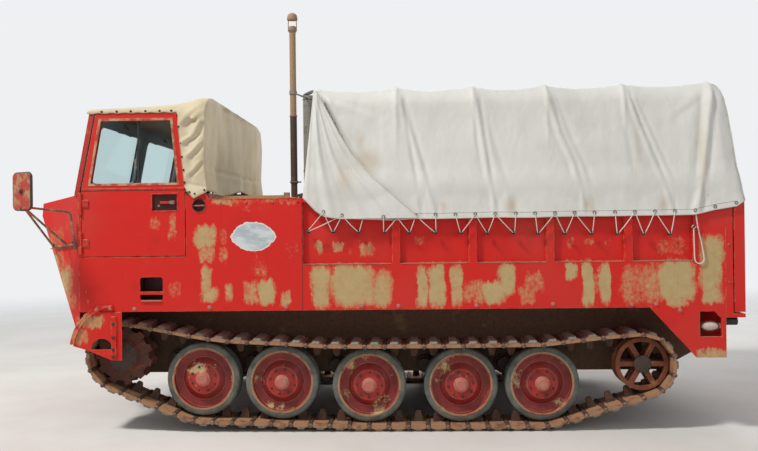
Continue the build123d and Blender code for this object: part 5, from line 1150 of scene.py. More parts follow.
def add_lacing():
    """Welded hooks along the bed's side, and the cord that laces the hem down to them."""
    hooks = Piece("lacing_hooks", BLACK_STEEL)
    cords = Piece("hem_lacing", ROPE_CLOTH)
    for side in (1, -1):
        for number, x in enumerate(HOOK_XS):
            z = hook_height(number)
            hooks.box((x, side * (SIDE + 0.004), z + 0.004), (0.030, 0.008, 0.034))
            hooks.tube([(x, side * (SIDE + 0.002), z), (x, side * (SIDE + 0.018), z - 0.004),
                        (x, side * (SIDE + 0.030), z - 0.004), (x, side * (SIDE + 0.036), z + 0.006),
                        (x, side * (SIDE + 0.036), z + 0.020)], 0.0045, 0, 8)
        kept = lacing_line(side)
        dense = []
        threaded = [kept[0]]
        for a, b in zip(kept, kept[1:]):
            if min(a[2], b[2]) > 1.70 and math.dist(a, b) > 0.05:
                threaded += [(a[0], a[1] - 0.030, a[2]), (b[0], b[1] - 0.030, b[2])]
            threaded.append(b)
        for a, b in zip(threaded, threaded[1:]):
            steps = max(1, int(math.dist(a, b) / 0.035))
            for i in range(steps):
                share = i / steps
                hang = 0.004 * math.sin(math.pi * share) if steps > 1 else 0
                dense.append((lerp(a[0], b[0], share), side * (lerp(a[1], b[1], share) + hang),
                              lerp(a[2], b[2], share) - hang))
        dense.append((kept[-1][0], side * kept[-1][1], kept[-1][2]))
        cords.tube(dense, 0.0038, 0, 6)
    hooks.done()
    cords.done()


# Cab canvas: roof, round corners and rear wall in one sheet, with quarter panels, a seam and snaps
CAB_HALF = 1.3430
CAB_FRONT = (2.424, 2.660)
CAB_PEAK = (1.474, 2.758)
# columns: x and the roof's height, then x and its corners' radius
CAB_TOPS = [CAB_FRONT, (2.114, 2.672), (1.747, 2.690), (1.647, 2.724), (1.570, 2.752), (1.520, 2.763),
            CAB_PEAK]
CAB_RADII = [(2.424, 0.022), (1.760, 0.070), (1.620, 0.160), (1.474, 0.210)]
# columns: points (x, z) of one fold of the quarter panel, its height and its width
QUARTER_FOLDS = [
    ([(1.453, 2.700), (1.577, 2.606), (1.660, 2.519)], 0.016, 0.030),
    ([(1.489, 2.557), (1.552, 2.436), (1.656, 2.370)], 0.016, 0.022),
    ([(1.482, 2.390), (1.562, 2.301), (1.610, 2.262)], 0.013, 0.020),
    ([(1.490, 2.232), (1.564, 2.145), (1.610, 2.110)], 0.010, 0.018),
]
CAB_HEM_Z = 2.628
# columns: x and z down the rear wall at its corners and at its middle
CAB_REAR_LINE = [(1.466, 2.766), (1.470, 2.645), (1.484, 2.198), (1.470, 2.080), (1.453, 1.930)]
CAB_REAR_MIDDLE = [(1.466, 2.766), (1.474, 2.500), (1.484, 2.200), (1.490, 2.100), (1.484, 1.930)]
CAB_PILLAR_LINE = [(1.702, 2.640), (1.642, 2.030), (1.636, 1.900)]
QUARTER_HEM = [(0.0, 1.978), (0.35, 1.950), (0.62, 1.926), (0.80, 1.965), (1.0, 2.020)]
SNAPS = [(2.317, 2.640), (2.193, 2.640), (2.077, 2.640), (1.957, 2.640), (1.840, 2.640), (1.745, 2.640),
         (1.686, 2.508), (1.672, 2.374), (1.660, 2.262), (1.650, 2.156), (1.642, 2.053), (1.556, 1.960),
         (1.600, 1.975), (1.478, 1.990)]


def resample(points, step):
    """Points every so often along a line of (x, z)."""
    found = []
    for a, b in zip(points, points[1:]):
        count = max(1, int(math.dist(a, b) / step))
        found += [(lerp(a[0], b[0], i / count), lerp(a[1], b[1], i / count)) for i in range(count)]
    return found + [points[-1]]


def cab_corner(x):
    """The roof's height and its corners' radius at an x."""
    return on_line(CAB_TOPS, x, 0), on_line(CAB_RADII, x, 0)


def quarter_fold(x, z):
    """How far the quarter panel's slanting folds push it out."""
    total = 0.0
    for points, height, width in QUARTER_FOLDS:
        top, foot = points[0][1], points[-1][1]
        if not foot - 0.06 < z < top + 0.06:
            continue
        level = min(max(z, foot), top)
        slant = abs(points[0][0] - points[-1][0]) / (top - foot)
        away = (x - on_line(points, level, 1)) / math.hypot(1, slant) / width
        ends = min(1.0, (top + 0.06 - z) / 0.07) * min(1.0, (z - foot + 0.06) / 0.08)
        total += ends * height * (math.exp(-(away - 0.6) ** 2) - 1.3 * math.exp(-((away + 0.8) / 0.9) ** 2))
    share = clamp((x - CAB_REAR_LINE[0][0]) / (CAB_PILLAR_LINE[0][0] - CAB_REAR_LINE[0][0]))
    return total * math.sin(math.pi * share) ** 0.5


def cab_side(x, z):
    """The canvas's half width at a place on its side."""
    top, radius = cab_corner(x)
    above = min(max(0.0, z - (top - radius)), radius)
    return CAB_HALF - radius + math.sqrt(radius**2 - above**2)


def cab_section(x):
    """(y, z) across the roof at an x, from hem to hem, or from quarter panel to quarter panel."""
    top, radius = cab_corner(x)
    low = CAB_HEM_Z if x > 1.700 else top - radius
    turn = math.acos(max(0.0, 1 - (top - low) / radius))
    half = [(CAB_HALF, lerp(low, max(low, top - radius), i / 4)) for i in range(4)]
    for i in range(15):
        a = turn * (1 - i / 14)
        half.append((CAB_HALF - radius + radius * math.sin(a), top - radius + radius * math.cos(a)))
    half += [((CAB_HALF - radius) * (1 - i / 32), top) for i in range(1, 33)]
    return half + [(-y, z) for y, z in half[-2::-1]]


def cab_roof_rows():
    """Rows of points across the roof, from front to rear; the middle rests on the straight bow rails."""
    rows = []
    for x, _ in resample([CAB_FRONT, CAB_PEAK], 0.012):
        row = []
        along = min(1.0, (CAB_FRONT[0] - x) / (CAB_FRONT[0] - CAB_PEAK[0]))
        straight = lerp(CAB_FRONT[1], 2.768, along) + 0.006
        top, radius = cab_corner(x)
        for y, z in cab_section(x):
            wide = max(0.0, 1 - (y / CAB_HALF) ** 2)
            inner = smooth((1.20 - abs(y)) / 0.18)
            rise = (max(straight, z) - z) * inner
            rise -= 0.016 * math.sin(math.pi * along) * max(0.0, 1 - (y / 0.80) ** 2) ** 0.7
            rise += 0.006 * noise.noise(Vector((x * 5, y * 3, 1))) * wide * max(0.0, 1 - (y / 0.86) ** 2)
            rise += 0.002 * noise.noise(Vector((x * 14, y * 9, 4))) * wide ** 0.5
            out = max(0.0, (abs(y) - CAB_HALF + radius) / radius)
            up = max(0.0, (z - top + radius) / radius)
            push = quarter_fold(x, z) * out if x < 1.70 else 0.0
            row.append((x, y + math.copysign(push * out, y), z + rise + push * up))
        rows.append(row)
    return rows


def cab_rear_rows(last):
    """Rows of points down the rear wall, from the roof's last row to the lifted hem."""
    rows = []
    for j in range(1, 41):
        row = []
        for _, y, high in last:
            lifted = 0.085 * math.exp(-((y + 0.42) / 0.42) ** 2) + 0.018 * math.sin(y * 5 + 1)
            z = lerp(high - 0.004, 1.965 + lifted, j / 40)
            middle = max(0.0, 1 - (y / 0.95) ** 2) ** 0.5
            x = lerp(on_line(CAB_REAR_LINE, z, 1), on_line(CAB_REAR_MIDDLE, z, 1), middle)
            edge = min(1.0, (CAB_HALF - abs(y)) / 0.10)
            low = clamp((2.62 - z) / 0.55)
            push = 0.014 * low * math.sin(y * 5.1 + 0.9 + 1.6 * (2.6 - z))
            push += 0.004 * low * math.sin(y * 15 + 5.2 * z)
            push += 0.016 * noise.noise(Vector((y * 3, z * 2.2, 2)))
            push -= 0.008 * math.exp(-((z - 2.178) / 0.010) ** 2)
            row.append((x + 0.022 * middle - push * edge, y, z))
        rows.append(row)
    return rows


def cab_quarter_rows(side, tops):
    """Rows of points down one rear quarter, from the roof's edge to a hem with a hanging corner."""
    rows = [list(tops)]
    for j in range(1, 61):
        down = j / 60
        row = []
        for top_x, _, top_z in tops:
            share = (top_x - CAB_PEAK[0]) / (tops[-1][0] - CAB_PEAK[0])
            z = lerp(top_z, on_line(QUARTER_HEM, share, 0), down)
            x = lerp(on_line(CAB_REAR_LINE, z, 1), on_line(CAB_PILLAR_LINE, min(z, 2.64), 1), share)
            x = lerp(top_x, x, min(1.0, down * 8))
            inside = math.sin(math.pi * clamp(share)) ** 0.6
            ripple = 0.006 * noise.noise(Vector((x * 6, side, z * 4))) * inside
            ripple += 0.004 * noise.noise(Vector((x * 14, 9 * side, z * 7))) * inside
            ripple -= 0.006 * math.exp(-((z - lerp(2.01, 2.055, share)) / 0.007) ** 2)
            ripple += 0.012 * clamp((2.03 - z) / 0.05)
            row.append((x, side * (CAB_HALF + quarter_fold(x, z) + ripple * min(1.0, down * 8)), z))
        rows.append(row)
    return rows


def add_cab_canvas():
    """The cab's canvas and its trim."""
    canvas = Piece("cab_canvas_cloth", CAB_CLOTH)
    trim = Piece("cab_canvas_trim", CAB_HEM, SOOT_STEEL_AND_SHADE)
    front = [[(2.4325, y, min(z, low)) for y, z in cab_section(CAB_FRONT[0])] for low in (2.632, 2.652)]
    roof = cab_roof_rows()
    grid = front + roof + cab_rear_rows(roof[-1])
    canvas.sheet(grid)
    trim.tube(grid[-1], 0.006, 0, 6)
    trim.tube([(x + 0.002, y, z) for x, y, z in grid[0]], 0.005, 0, 6)
    for side in (1, -1):
        edge_line = []
        for i in range(61):
            x = lerp(CAB_FRONT[0], 1.703, i / 60)
            edge_line.append((x, side * (cab_side(x, CAB_HEM_Z) + 0.001),
                              CAB_HEM_Z - 0.003 * math.sin(i * 0.7)))
        trim.tube(edge_line, 0.0048, 0, 6)
        tops = [row[0] if side > 0 else row[-1] for row in roof if row[0][0] <= 1.700][::-1]
        rows = cab_quarter_rows(side, tops)
        canvas.sheet(rows)
        trim.tube(rows[-1], 0.0052, 0, 6)
        trim.tube([row[-1] for row in rows], 0.0045, 0, 6)
        for x, z in SNAPS:
            out = 0.014 if z < 2.03 else 0.003
            trim.dome((x, side * (cab_side(x, z) + out), z), (0, side, 0), 0.0095, 0.008, 1, 12)
    cloth_piece = canvas.done(stands_for=["cab_canvas"], sharp=60, weld=0.0004)
    thick = cloth_piece.modifiers.new("thick", "SOLIDIFY")
    thick.thickness = 0.004
    thick.offset = 0.0
    trim_piece = trim.done()


# Seats: padded cushion and back with piping and a seam across. columns: name, middle, size
SEAT_PADS = [("base", (1.855, 0.64, 1.500), (0.42, 0.45, 0.105)),
             ("back", (1.660, 0.64, 1.800), (0.085, 0.45, 0.50))]
PAD_STEPS = 26


def pad_spot(centre, size, u, v, depth, side):
    """A place on a pad: u and v run from -1 to 1 over its long sides, and depth is off its middle."""
    thin = size.index(min(size))
    wide, tall = [i for i in range(3) if i != thin]
    pull = 1 - 0.03 * (u * v) ** 2
    spot = [0, 0, 0]
    spot[wide] = centre[wide] + u * size[wide] / 2 * pull
    spot[tall] = centre[tall] + v * size[tall] / 2 * pull
    spot[thin] = centre[thin] + depth
    spot[1] *= side
    return spot


def add_seats():
    """Four stuffed pads in two seats."""
    for side in (1, -1):
        name = "left" if side > 0 else "right"
        for part, centre, size in SEAT_PADS:
            pad = Piece("seat_" + part + "_" + name, SEAT_VINYL)
            thick = min(size)
            for face_way in (1, -1):
                rows = []
                for i in range(PAD_STEPS + 1):
                    u = 2 * i / PAD_STEPS - 1
                    row = []
                    for j in range(PAD_STEPS + 1):
                        v = 2 * j / PAD_STEPS - 1
                        plump = max(0.0, (1 - abs(u) ** 3.2) * (1 - abs(v) ** 3.2)) ** 0.42
                        groove = 0.10 * math.exp(-((v * 3) % 1.0 - 0.5) ** 2 / 0.006)
                        groove = groove if abs(v) < 0.8 else 0.0
                        depth = (plump - groove * plump) * thick / 2
                        depth += 0.003 * noise.noise(Vector((u * 3, v * 3, face_way + side)))
                        row.append(pad_spot(centre, size, u, v, face_way * depth, side))
                    rows.append(row)
                pad.sheet(rows)
            rim = []
            for a in around(96):
                u = max(-1.0, min(1.0, math.cos(a) * 1.35))
                v = max(-1.0, min(1.0, math.sin(a) * 1.35))
                rim.append(pad_spot(centre, size, u, v, 0.0, side))
            pad.tube(rim, 0.006, 0, 6, caps=False)
            pad.done(sharp=50, weld=0.0006)
        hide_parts("seat_" + name)
        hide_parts("seat_" + name)


# Free end of the lacing: a bight that hangs from the last hook and goes back up under the hem
ROPE_ROUTE = [(-2.440, 1.354, 1.637), (-2.440, 1.354, 1.575), (-2.4415, 1.355, 1.500),
              (-2.442, 1.356, 1.430), (-2.444, 1.355, 1.388), (-2.453, 1.3545, 1.3635),
              (-2.4755, 1.354, 1.3505), (-2.501, 1.3545, 1.355), (-2.5175, 1.355, 1.375),
              (-2.5175, 1.356, 1.401), (-2.511, 1.356, 1.445), (-2.497, 1.357, 1.525),
              (-2.478, 1.359, 1.603), (-2.463, 1.362, 1.680), (-2.455, 1.366, 1.742)]


def add_rope():
    """The hanging bight as one soft cord."""
    data = bpy.data.curves.new("rope_end", "CURVE")
    data.dimensions = "3D"
    data.resolution_u = 12
    data.bevel_depth = 0.005
    data.bevel_resolution = 3
    data.use_fill_caps = True
    spline = data.splines.new("NURBS")
    spline.points.add(len(ROPE_ROUTE) - 1)
    for point, spot in zip(spline.points, ROPE_ROUTE):
        point.co = (*spot, 1)
    spline.order_u = 3
    spline.use_endpoint_u = True
    data.materials.append(ROPE_CLOTH)
    rope = bpy.data.objects.new("rope_end", data)
    bpy.context.scene.collection.objects.link(rope)
    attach(rope, HULL)
    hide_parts("rope_bight")
    knot = Piece("rope_hook_and_knot", BLACK_STEEL, ROPE_CLOTH)
    x, z = ROPE_ROUTE[0][0], ROPE_ROUTE[0][2]
    knot.tube([(x, SIDE + 0.020, z + 0.014), (x, SIDE + 0.034, z + 0.008), (x, SIDE + 0.038, z + 0.022)],
              0.0045, 0, 8)
    turns = [(x + 0.013 * math.cos(a), SIDE + 0.016 + 0.009 * math.sin(a * 2),
              z + 0.010 + 0.010 * math.sin(a))
             for a in around(24)[:-1]]
    knot.tube(turns, 0.0042, 1, 6)
    knot.done()


# Doors: gasket, waist seam, hinge strip, latch and handle trim, which ride on each door
DOOR_WAIST_Z = 2.008
DOOR_FRONT = 2.495
DOOR_REAR = 1.643
WINDOW = [(1.7055, 2.0545), (2.4175, 2.0545), (2.3235, 2.562), (1.7553, 2.562)]


def grown(outline, by):
    """A convex outline pushed out from its middle, by a distance on each axis."""
    mid = (sum(p[0] for p in outline) / len(outline), sum(p[1] for p in outline) / len(outline))
    return [(x + math.copysign(by, x - mid[0]), z + math.copysign(by, z - mid[1])) for x, z in outline]


def add_door_trim(side):
    """What is screwed to one door."""
    name = "left" if side > 0 else "right"
    trim = Piece("door_trim_" + name, GASKET, DOOR_RIM, HULL_PAINT, SOOT_STEEL_AND_SHADE, STEEL_GREY)

    def deep(start, depth):
        return (side * start, side * depth)

    start, depth = deep(SIDE - 0.012, 0.007)
    trim.frame(grown(WINDOW, 0.002), grown(WINDOW, -0.014), start, depth, 0)
    start, depth = deep(SIDE - 0.001, 0.004)
    trim.frame(grown(WINDOW, 0.020), grown(WINDOW, 0.001), start, depth, 1)
    start, depth = deep(SIDE - 0.001, 0.0035)
    trim.slab([(DOOR_REAR + 0.004, DOOR_WAIST_Z - 0.010), (DOOR_FRONT - 0.004, DOOR_WAIST_Z - 0.010),
               (DOOR_FRONT - 0.004, DOOR_WAIST_Z + 0.006), (DOOR_REAR + 0.004, DOOR_WAIST_Z + 0.006)],
               start, depth, 2)
    # a thin dark strip just under the rail: painted shadow of the rail
    start, depth = deep(SIDE - 0.001, 0.0015)
    trim.slab([(DOOR_REAR + 0.004, DOOR_WAIST_Z - 0.017), (DOOR_FRONT - 0.004, DOOR_WAIST_Z - 0.017),
               (DOOR_FRONT - 0.004, DOOR_WAIST_Z - 0.010), (DOOR_REAR + 0.004, DOOR_WAIST_Z - 0.010)],
               start, depth, 3)
    for x in [DOOR_REAR + 0.06 + 0.105 * i for i in range(8)]:
        trim.dome((x, side * (SIDE + 0.0025), DOOR_WAIST_Z - 0.002), (0, side, 0), 0.005, 0.003, 3, 10)
    # sliding window's middle rail and pull
    start, depth = deep(SIDE - 0.026, 0.010)
    trim.slab([(2.020, 2.050), (2.038, 2.050), (2.030, 2.566), (2.012, 2.566)], start, depth, 0)
    start, depth = deep(SIDE - 0.018, 0.012)
    trim.slab([(2.042, 2.190), (2.056, 2.190), (2.056, 2.250), (2.042, 2.250)], start, depth, 4)
    # hinge leaves with their screws
    for z in (1.570, 1.890):
        start, depth = deep(SIDE + 0.005, 0.003)
        trim.slab([(2.436, z - 0.030), (2.488, z - 0.030), (2.488, z + 0.030), (2.436, z + 0.030)], start,
                  depth, 2)
        for dx, dz in ((2.448, 0.018), (2.448, -0.018), (2.468, 0.018), (2.468, -0.018)):
            trim.dome((dx, side * (SIDE + 0.008), z + dz), (0, side, 0), 0.0048, 0.003, 3, 10)
    # handle recess rim, keyhole and latch plate
    recess = [(1.707, 1.827), (1.911, 1.827), (1.911, 1.960), (1.707, 1.960)]
    start, depth = deep(SIDE - 0.001, 0.0035)
    trim.frame(grown(recess, 0.010), recess, start, depth, 2)
    trim.turned([(0.010, 0), (0.010, 0.006), (0.007, 0.008), (0, 0.008)],
                (1.860, side * (SIDE - 0.018), 1.866), (0, side, 0), 4, 16)
    trim.box((1.750, side * (SIDE - 0.006), 1.8935), (0.034, 0.018, 0.028), 4)
    # inside: a pull bar
    trim.tube([(1.800, side * (SIDE - 0.042), 1.700), (1.800, side * (SIDE - 0.070), 1.705),
               (2.050, side * (SIDE - 0.070), 1.705), (2.050, side * (SIDE - 0.042), 1.700)], 0.007, 3, 8)
    trim.done(body="door_" + name + "_body", sharp=30)


# Windshield: gaskets, wipers and the latch at the frame's top, the dash dials and lever grips
def screen_spot(y, up, off):
    """A place on the raked windshield: y, metres up its face, and metres in front of it."""
    rake = math.atan(0.2)
    return (2.555 - up * math.sin(rake) + off * math.cos(rake), y,
            1.960 + up * math.cos(rake) + off * math.sin(rake))


def add_cab_fittings():
    """Gaskets, liners, wipers, dash gauges, lever grips and the screen's latches."""
    trim = Piece("cab_fittings", GASKET, STEEL_GREY, SOOT_STEEL_AND_SHADE, GAUGE_FACE, SCREEN_GREY_LIGHTENED)
    for side in (1, -1):
        # the frame's inner liner, in a pale grey of painted light, whose openings have round corners
        outer = []
        inner = []
        for far_y, far_up, turn in ((1.290, 0.680, 0), (0.004, 0.680, 90), (0.004, 0.075, 180),
                                    (1.290, 0.075, 270)):
            mid_y = 1.105 if far_y > 1 else 0.175
            mid_up = 0.530 if far_up > 0.5 else 0.195
            for k in range(6):
                a = math.radians(turn + 18 * k)
                outer.append((side * far_y, far_up))
                inner.append((side * (mid_y + 0.070 * math.cos(a)), mid_up + 0.070 * math.sin(a)))
        rings = [[screen_spot(y, up, off) for y, up in line]
                 for line, off in ((outer, -0.050), (inner, -0.050), (inner, -0.058), (outer, -0.058),
                                   (outer, -0.050))]
        trim.loft(rings, 4, caps=False)
        low_y, high_y = side * 0.040, side * 1.272
        corners = [(low_y, 0.100), (high_y, 0.100), (high_y, 0.625), (low_y, 0.625)]
        for off in (0.001, -0.042):
            ring = []
            for a, b in zip(corners, corners[1:] + corners[:1]):
                ring += [screen_spot(lerp(a[0], b[0], i / 6), lerp(a[1], b[1], i / 6),
                                     off) for i in range(6)]
            ring.append(ring[0])
            trim.tube(ring, 0.007, 0, 8)
        pivot = screen_spot(side * 0.70, 0.655, 0.0)
        trim.turned([(0.020, 0), (0.020, 0.020), (0.012, 0.030), (0, 0.030)], pivot, (1, 0, 0.2), 2, 16)
        tip = screen_spot(side * 0.40, 0.612, 0.018)
        trim.tube([screen_spot(side * 0.70, 0.655, 0.022), screen_spot(side * 0.56, 0.630, 0.030), tip],
                  0.0045, 2, 8)
        trim.tube([screen_spot(side * 0.22, 0.606, 0.010), tip, screen_spot(side * 0.58, 0.606, 0.010)],
                  0.006, 0, 6)
    for number, y in enumerate((0.98, 0.84, 0.70, 0.56, 0.42, 0.28)):
        radius = 0.052 if number in (1, 2) else 0.036
        spot = (2.333, y, 1.822)
        trim.turned([(radius, 0), (radius, 0.012), (radius * 0.86, 0.016), (radius * 0.84, 0.010)], spot,
                    (-1, 0, 0.30), 2, 24)
        trim.turned([(radius * 0.84, 0.006), (0, 0.0065)], spot, (-1, 0, 0.30), 3, 24)
    for y in (-0.30, -0.42, -0.54, -0.66):
        trim.turned([(0.012, 0), (0.012, 0.016), (0.008, 0.020), (0, 0.020)], (2.336, y, 1.80),
                    (-1, 0, 0.3), 1, 12)
    for y in (0.560, 0.720):
        trim.turned([(0.0212, -0.004), (0.0230, 0.0), (0.0225, 0.060), (0.0245, 0.110), (0.0220, 0.134),
                     (0.012, 0.142), (0, 0.143)], (2.250, y, 1.750), (0, 0, 1), 0, 16)
    # the screen's hold-open latches, one on each half of the header
    for y in (-0.62, 0.62):
        trim.box((2.372, y, 2.600), (0.020, 0.060, 0.030), 1)
        trim.tube([(2.362, y - 0.02, 2.60), (2.340, y - 0.02, 2.575), (2.340, y + 0.02, 2.575),
                   (2.362, y + 0.02, 2.60)],
                  0.004, 1, 6)
    trim.done(sharp=32)


# Mirrors: glass, rim and clamp on each head, and the bolts of their arms
def add_mirror_trim():
    """The faces and rims of both mirrors."""
    trim = Piece("mirror_trim", MIRROR_FACE, SOOT_STEEL_AND_SHADE, RIM_TAN)
    for side in (1, -1):
        turn = math.radians(60) * side
        out = Vector((math.cos(turn), math.sin(turn), 0))
        along = Vector((math.sin(turn), -math.cos(turn), 0))
        middle = Vector((2.838, side * 1.650, 1.985))

        def rounded(half_w, half_h, corner, off):
            ring = []
            for cx, cz, start in ((1, 1, 0), (-1, 1, 90), (-1, -1, 180), (1, -1, 270)):
                for k in range(6):
                    a = math.radians(start + 90 * k / 5)
                    w = cx * (half_w - corner) + corner * math.cos(a)
                    h = cz * (half_h - corner) + corner * math.sin(a)
                    ring.append(middle + along * w + Vector((0, 0, h)) + out * off)
            return ring

        trim.loft([rounded(0.099, 0.134, 0.030, -0.0135), rounded(0.097, 0.132, 0.029, -0.0145)], 0)
        edge = rounded(0.1055, 0.1405, 0.034, 0.0)
        trim.tube([*edge, edge[0]], 0.0115, 1, 8, caps=False)
        trim.turned([(0.022, 0), (0.022, 0.005), (0.016, 0.008), (0.008, 0.009), (0, 0.009)],
                    middle + out * 0.013, out, 1, 20)
        trim.bolt(middle + out * 0.024, out, 0.008, 0.007, 1)
        trim.box(Vector((2.838, side * 1.642, 1.846)), (0.034, 0.040, 0.030), 1)
        # bolts where the arms meet the corner plates
        for x, z in ((2.785, 1.5363), (2.560, 1.5585)):
            y = SIDE - (x - 2.520) * 0.6859
            trim.bolt((x + 0.010, side * (y + 0.018), z + 0.020), (0.56, side * 0.82, 0), 0.010, 0.008, 1)
    trim.done(sharp=35)


# Exhaust and intake: bands, a clamp bolt, the collars and bolts at their feet, and fittings on the deck
# beside them
STACK_AT = (0.833, 0.700)
INTAKE_AT = (0.740, 0.330)


def add_stack_trim():
    """Small fittings on the two upright pipes."""
    trim = Piece("stack_trim", SOOT_STEEL_AND_SHADE, STEEL_GREY, RIM_TAN)
    for z in (2.0785, 3.420):
        trim.hoop((*STACK_AT, z), 0.036, 0.004, 1, 6, 24)
    clamp_x, clamp_y = STACK_AT[0] - 0.055, STACK_AT[1]
    trim.rod((clamp_x, clamp_y - 0.016, 2.078), (clamp_x, clamp_y + 0.016, 2.078), 0.005, 1, 8)
    trim.turned([(0.036, 0), (0.046, 0.006), (0.060, 0.010), (0.060, 0.020), (0.036, 0.030)],
                (*STACK_AT, 1.9155), (0, 0, 1), 2, 24)
    for (x, y), reach, z in ((STACK_AT, 0.050, 1.930), (INTAKE_AT, 0.074, 1.921)):
        for a in around(4)[:-1]:
            spot = (x + reach * math.cos(math.pi / 4 + a), y + reach * math.sin(math.pi / 4 + a), z)
            trim.bolt(spot, (0, 0, 1), 0.006, 0.006, 0)
    trim.turned([(0.052, 0), (0.086, 0), (0.086, 0.006), (0.0535, 0.008), (0.0535, 0.0)],
                (*INTAKE_AT, 1.9155), (0, 0, 1), 1, 28, ring=True)
    for z in (2.20, 2.86):
        trim.hoop((*INTAKE_AT, z), 0.0535, 0.0035, 0, 6, 28)
    # junction boxes and hoses on the deck beside the pipes
    trim.box((0.823, 1.235, 1.940), (0.045, 0.050, 0.050), 2)
    trim.box((0.700, 1.200, 1.930), (0.050, 0.060, 0.030), 0)
    trim.tube([(0.700, 1.180, 1.930), (0.715, 1.10, 1.955), (0.76, 1.00, 1.950), (0.80, 0.86, 1.935)],
              0.010, 0, 8)
    trim.done(sharp=35)


# Deck: mesh under the grille bars and lifting handles, which ride on each lid
def add_lid_trim(side):
    """Expanded mesh and a handle on one deck lid."""
    name = "left" if side > 0 else "right"
    trim = Piece("lid_trim_" + name, SOOT_STEEL_AND_SHADE, STEEL_GREY)
    low_x, high_x, low_y, high_y = 1.000, 1.405, 0.105, 0.605
    step = 0.030
    count = int((high_y - low_y) / step)
    for i in range(count + 1):
        y = low_y + i * step
        trim.tube([(x, side * (y + (0.004 if k % 2 else -0.004)), 1.9235)
                   for k, x in enumerate([low_x + (high_x - low_x) * j / 18 for j in range(19)])], 0.0016,
                   0, 4)
    trim.tube([(1.405, side * 0.300, 1.942), (1.405, side * 0.300, 1.970), (1.405, side * 0.410, 1.970),
               (1.405, side * 0.410, 1.942)], 0.006, 1, 8)
    for x in (0.985, 1.42):
        for y in (0.095, 0.355, 0.615):
            trim.bolt((x, side * y, 1.943), (0, 0, 1), 0.007, 0.005, 0)
    trim.done(body="lid_" + name + "_body", sharp=35)


# Headlamps, side lamps and tail lamps
HEADLAMP_Y = 0.760
HEADLAMP_Z = 1.560
HEADLAMP_FACE_X = 2.945 - (1.800 - HEADLAMP_Z) * 0.41 + 0.095
SKIRT_LAMP_X = -2.5705
SKIRT_LAMP_Z = 0.850


def add_lamps():
    """Lenses, rims and guards."""
    lamps = Piece("lamp_parts", LENS_GLASS, SOOT_STEEL_AND_SHADE, TAIL_RED, STEEL_GREY, LAMP_GLASS)
    for side in (1, -1):
        y, z = side * HEADLAMP_Y, HEADLAMP_Z
        centre = (HEADLAMP_FACE_X, y, z)
        lamps.turned([(0.097, -0.012), (0.101, -0.006), (0.101, 0.004), (0.092, 0.010), (0.086, 0.008)],
                     centre, (1, 0, 0), 3, 40, ring=True)
        lamps.turned([(0.086, 0.002), (0.070, 0.014), (0.040, 0.021), (0, 0.023)], centre, (1, 0, 0), 0, 36)
        for up in (-0.045, 0.0, 0.045):
            wide = math.sqrt(0.104**2 - up**2)
            guard = [(0.004, -1.0), (0.036, -0.6), (0.042, 0.0), (0.036, 0.6), (0.004, 1.0)]
            lamps.tube([(HEADLAMP_FACE_X + off, y + wide * share, z + up) for off, share in guard], 0.0035,
                       1, 6)
        # the oval lamp in the skirt's hole, its rim and the lifting ring below it
        y = SIDE - 0.025
        lamps.tube([(SKIRT_LAMP_X + 0.072 * math.cos(a), side * (y + 0.002),
                     SKIRT_LAMP_Z + 0.038 * math.sin(a))
                    for a in around(28)], 0.005, 1, 6, caps=False)
        rows = []
        for share in (1.0, 0.9, 0.7, 0.4, 0.05):
            face_y = side * (y + 0.018 * (1 - share**2))
            rows.append([(SKIRT_LAMP_X + 0.068 * share * math.cos(a), face_y,
                          SKIRT_LAMP_Z + 0.034 * share * math.sin(a)) for a in around(28)[:-1]])
        lamps.loft(rows, 4)
        lamps.tube([(SKIRT_LAMP_X + 0.020 * math.cos(a), side * (SIDE - 0.012), 0.742 + 0.020 * math.sin(a))
                    for a in around(20)], 0.005, 3, 6, caps=False)
        # tail lamps on the rear plates
        for z in (0.875, 0.735):
            centre = (-2.691, side * 1.050, z)
            lamps.turned([(0.052, 0), (0.052, 0.030), (0.044, 0.036), (0.040, 0.034)], centre, (-1, 0, 0),
                         1, 28)
            lamps.turned([(0.041, 0.028), (0.030, 0.042), (0, 0.047)], centre, (-1, 0, 0), 2, 28)
        # reflector plates stay plain
        lamps.box((-2.697, side * 1.220, 0.700), (0.010, 0.070, 0.110), 4)
    lamps.done(sharp=35)


# Tailgate: latches at both top corners, chain eyes and a grab bar, which ride on the gate
def add_gate_trim():
    """Latches and small fittings on the tailgate."""
    trim = Piece("tailgate_trim", SOOT_STEEL_AND_SHADE, STEEL_GREY)
    rear = -2.844
    for side in (1, -1):
        y = side * (SIDE - 0.055)
        trim.box((rear + 0.030, y, 1.888), (0.050, 0.040, 0.020), 0)
        trim.tube([(rear + 0.020, y, 1.895), (rear - 0.008, y, 1.885), (rear - 0.012, y, 1.800)], 0.008, 1,
                  8)
        trim.turned([(0.022, 0), (0.022, 0.006), (0.012, 0.012), (0, 0.012)], (rear, y, 1.790), (-1, 0, 0),
                    0, 16)
        for y in (0.22, 0.67):
            trim.tube([(rear, side * (y - 0.05), 1.400), (rear - 0.030, side * (y - 0.05), 1.400),
                       (rear - 0.030, side * (y + 0.05), 1.400), (rear, side * (y + 0.05), 1.400)], 0.007,
                       0, 8)
    for number in range(7):
        y = -1.20 + 0.40 * number
        for z in (0.994, 1.850):
            trim.bolt((rear, y, z), (-1, 0, 0), 0.010, 0.007, 0)
    trim.done(body="tailgate_body", sharp=35)


# Side wall fittings: the port's rim and bar, the step pocket's lip, and welded seams
# columns: the rear and the front x of each recess between the bed's ribs
RECESSES = [(-0.032, 0.676), (-0.651, -0.110), (-1.270, -0.729), (-1.889, -1.348), (-2.436, -1.967)]


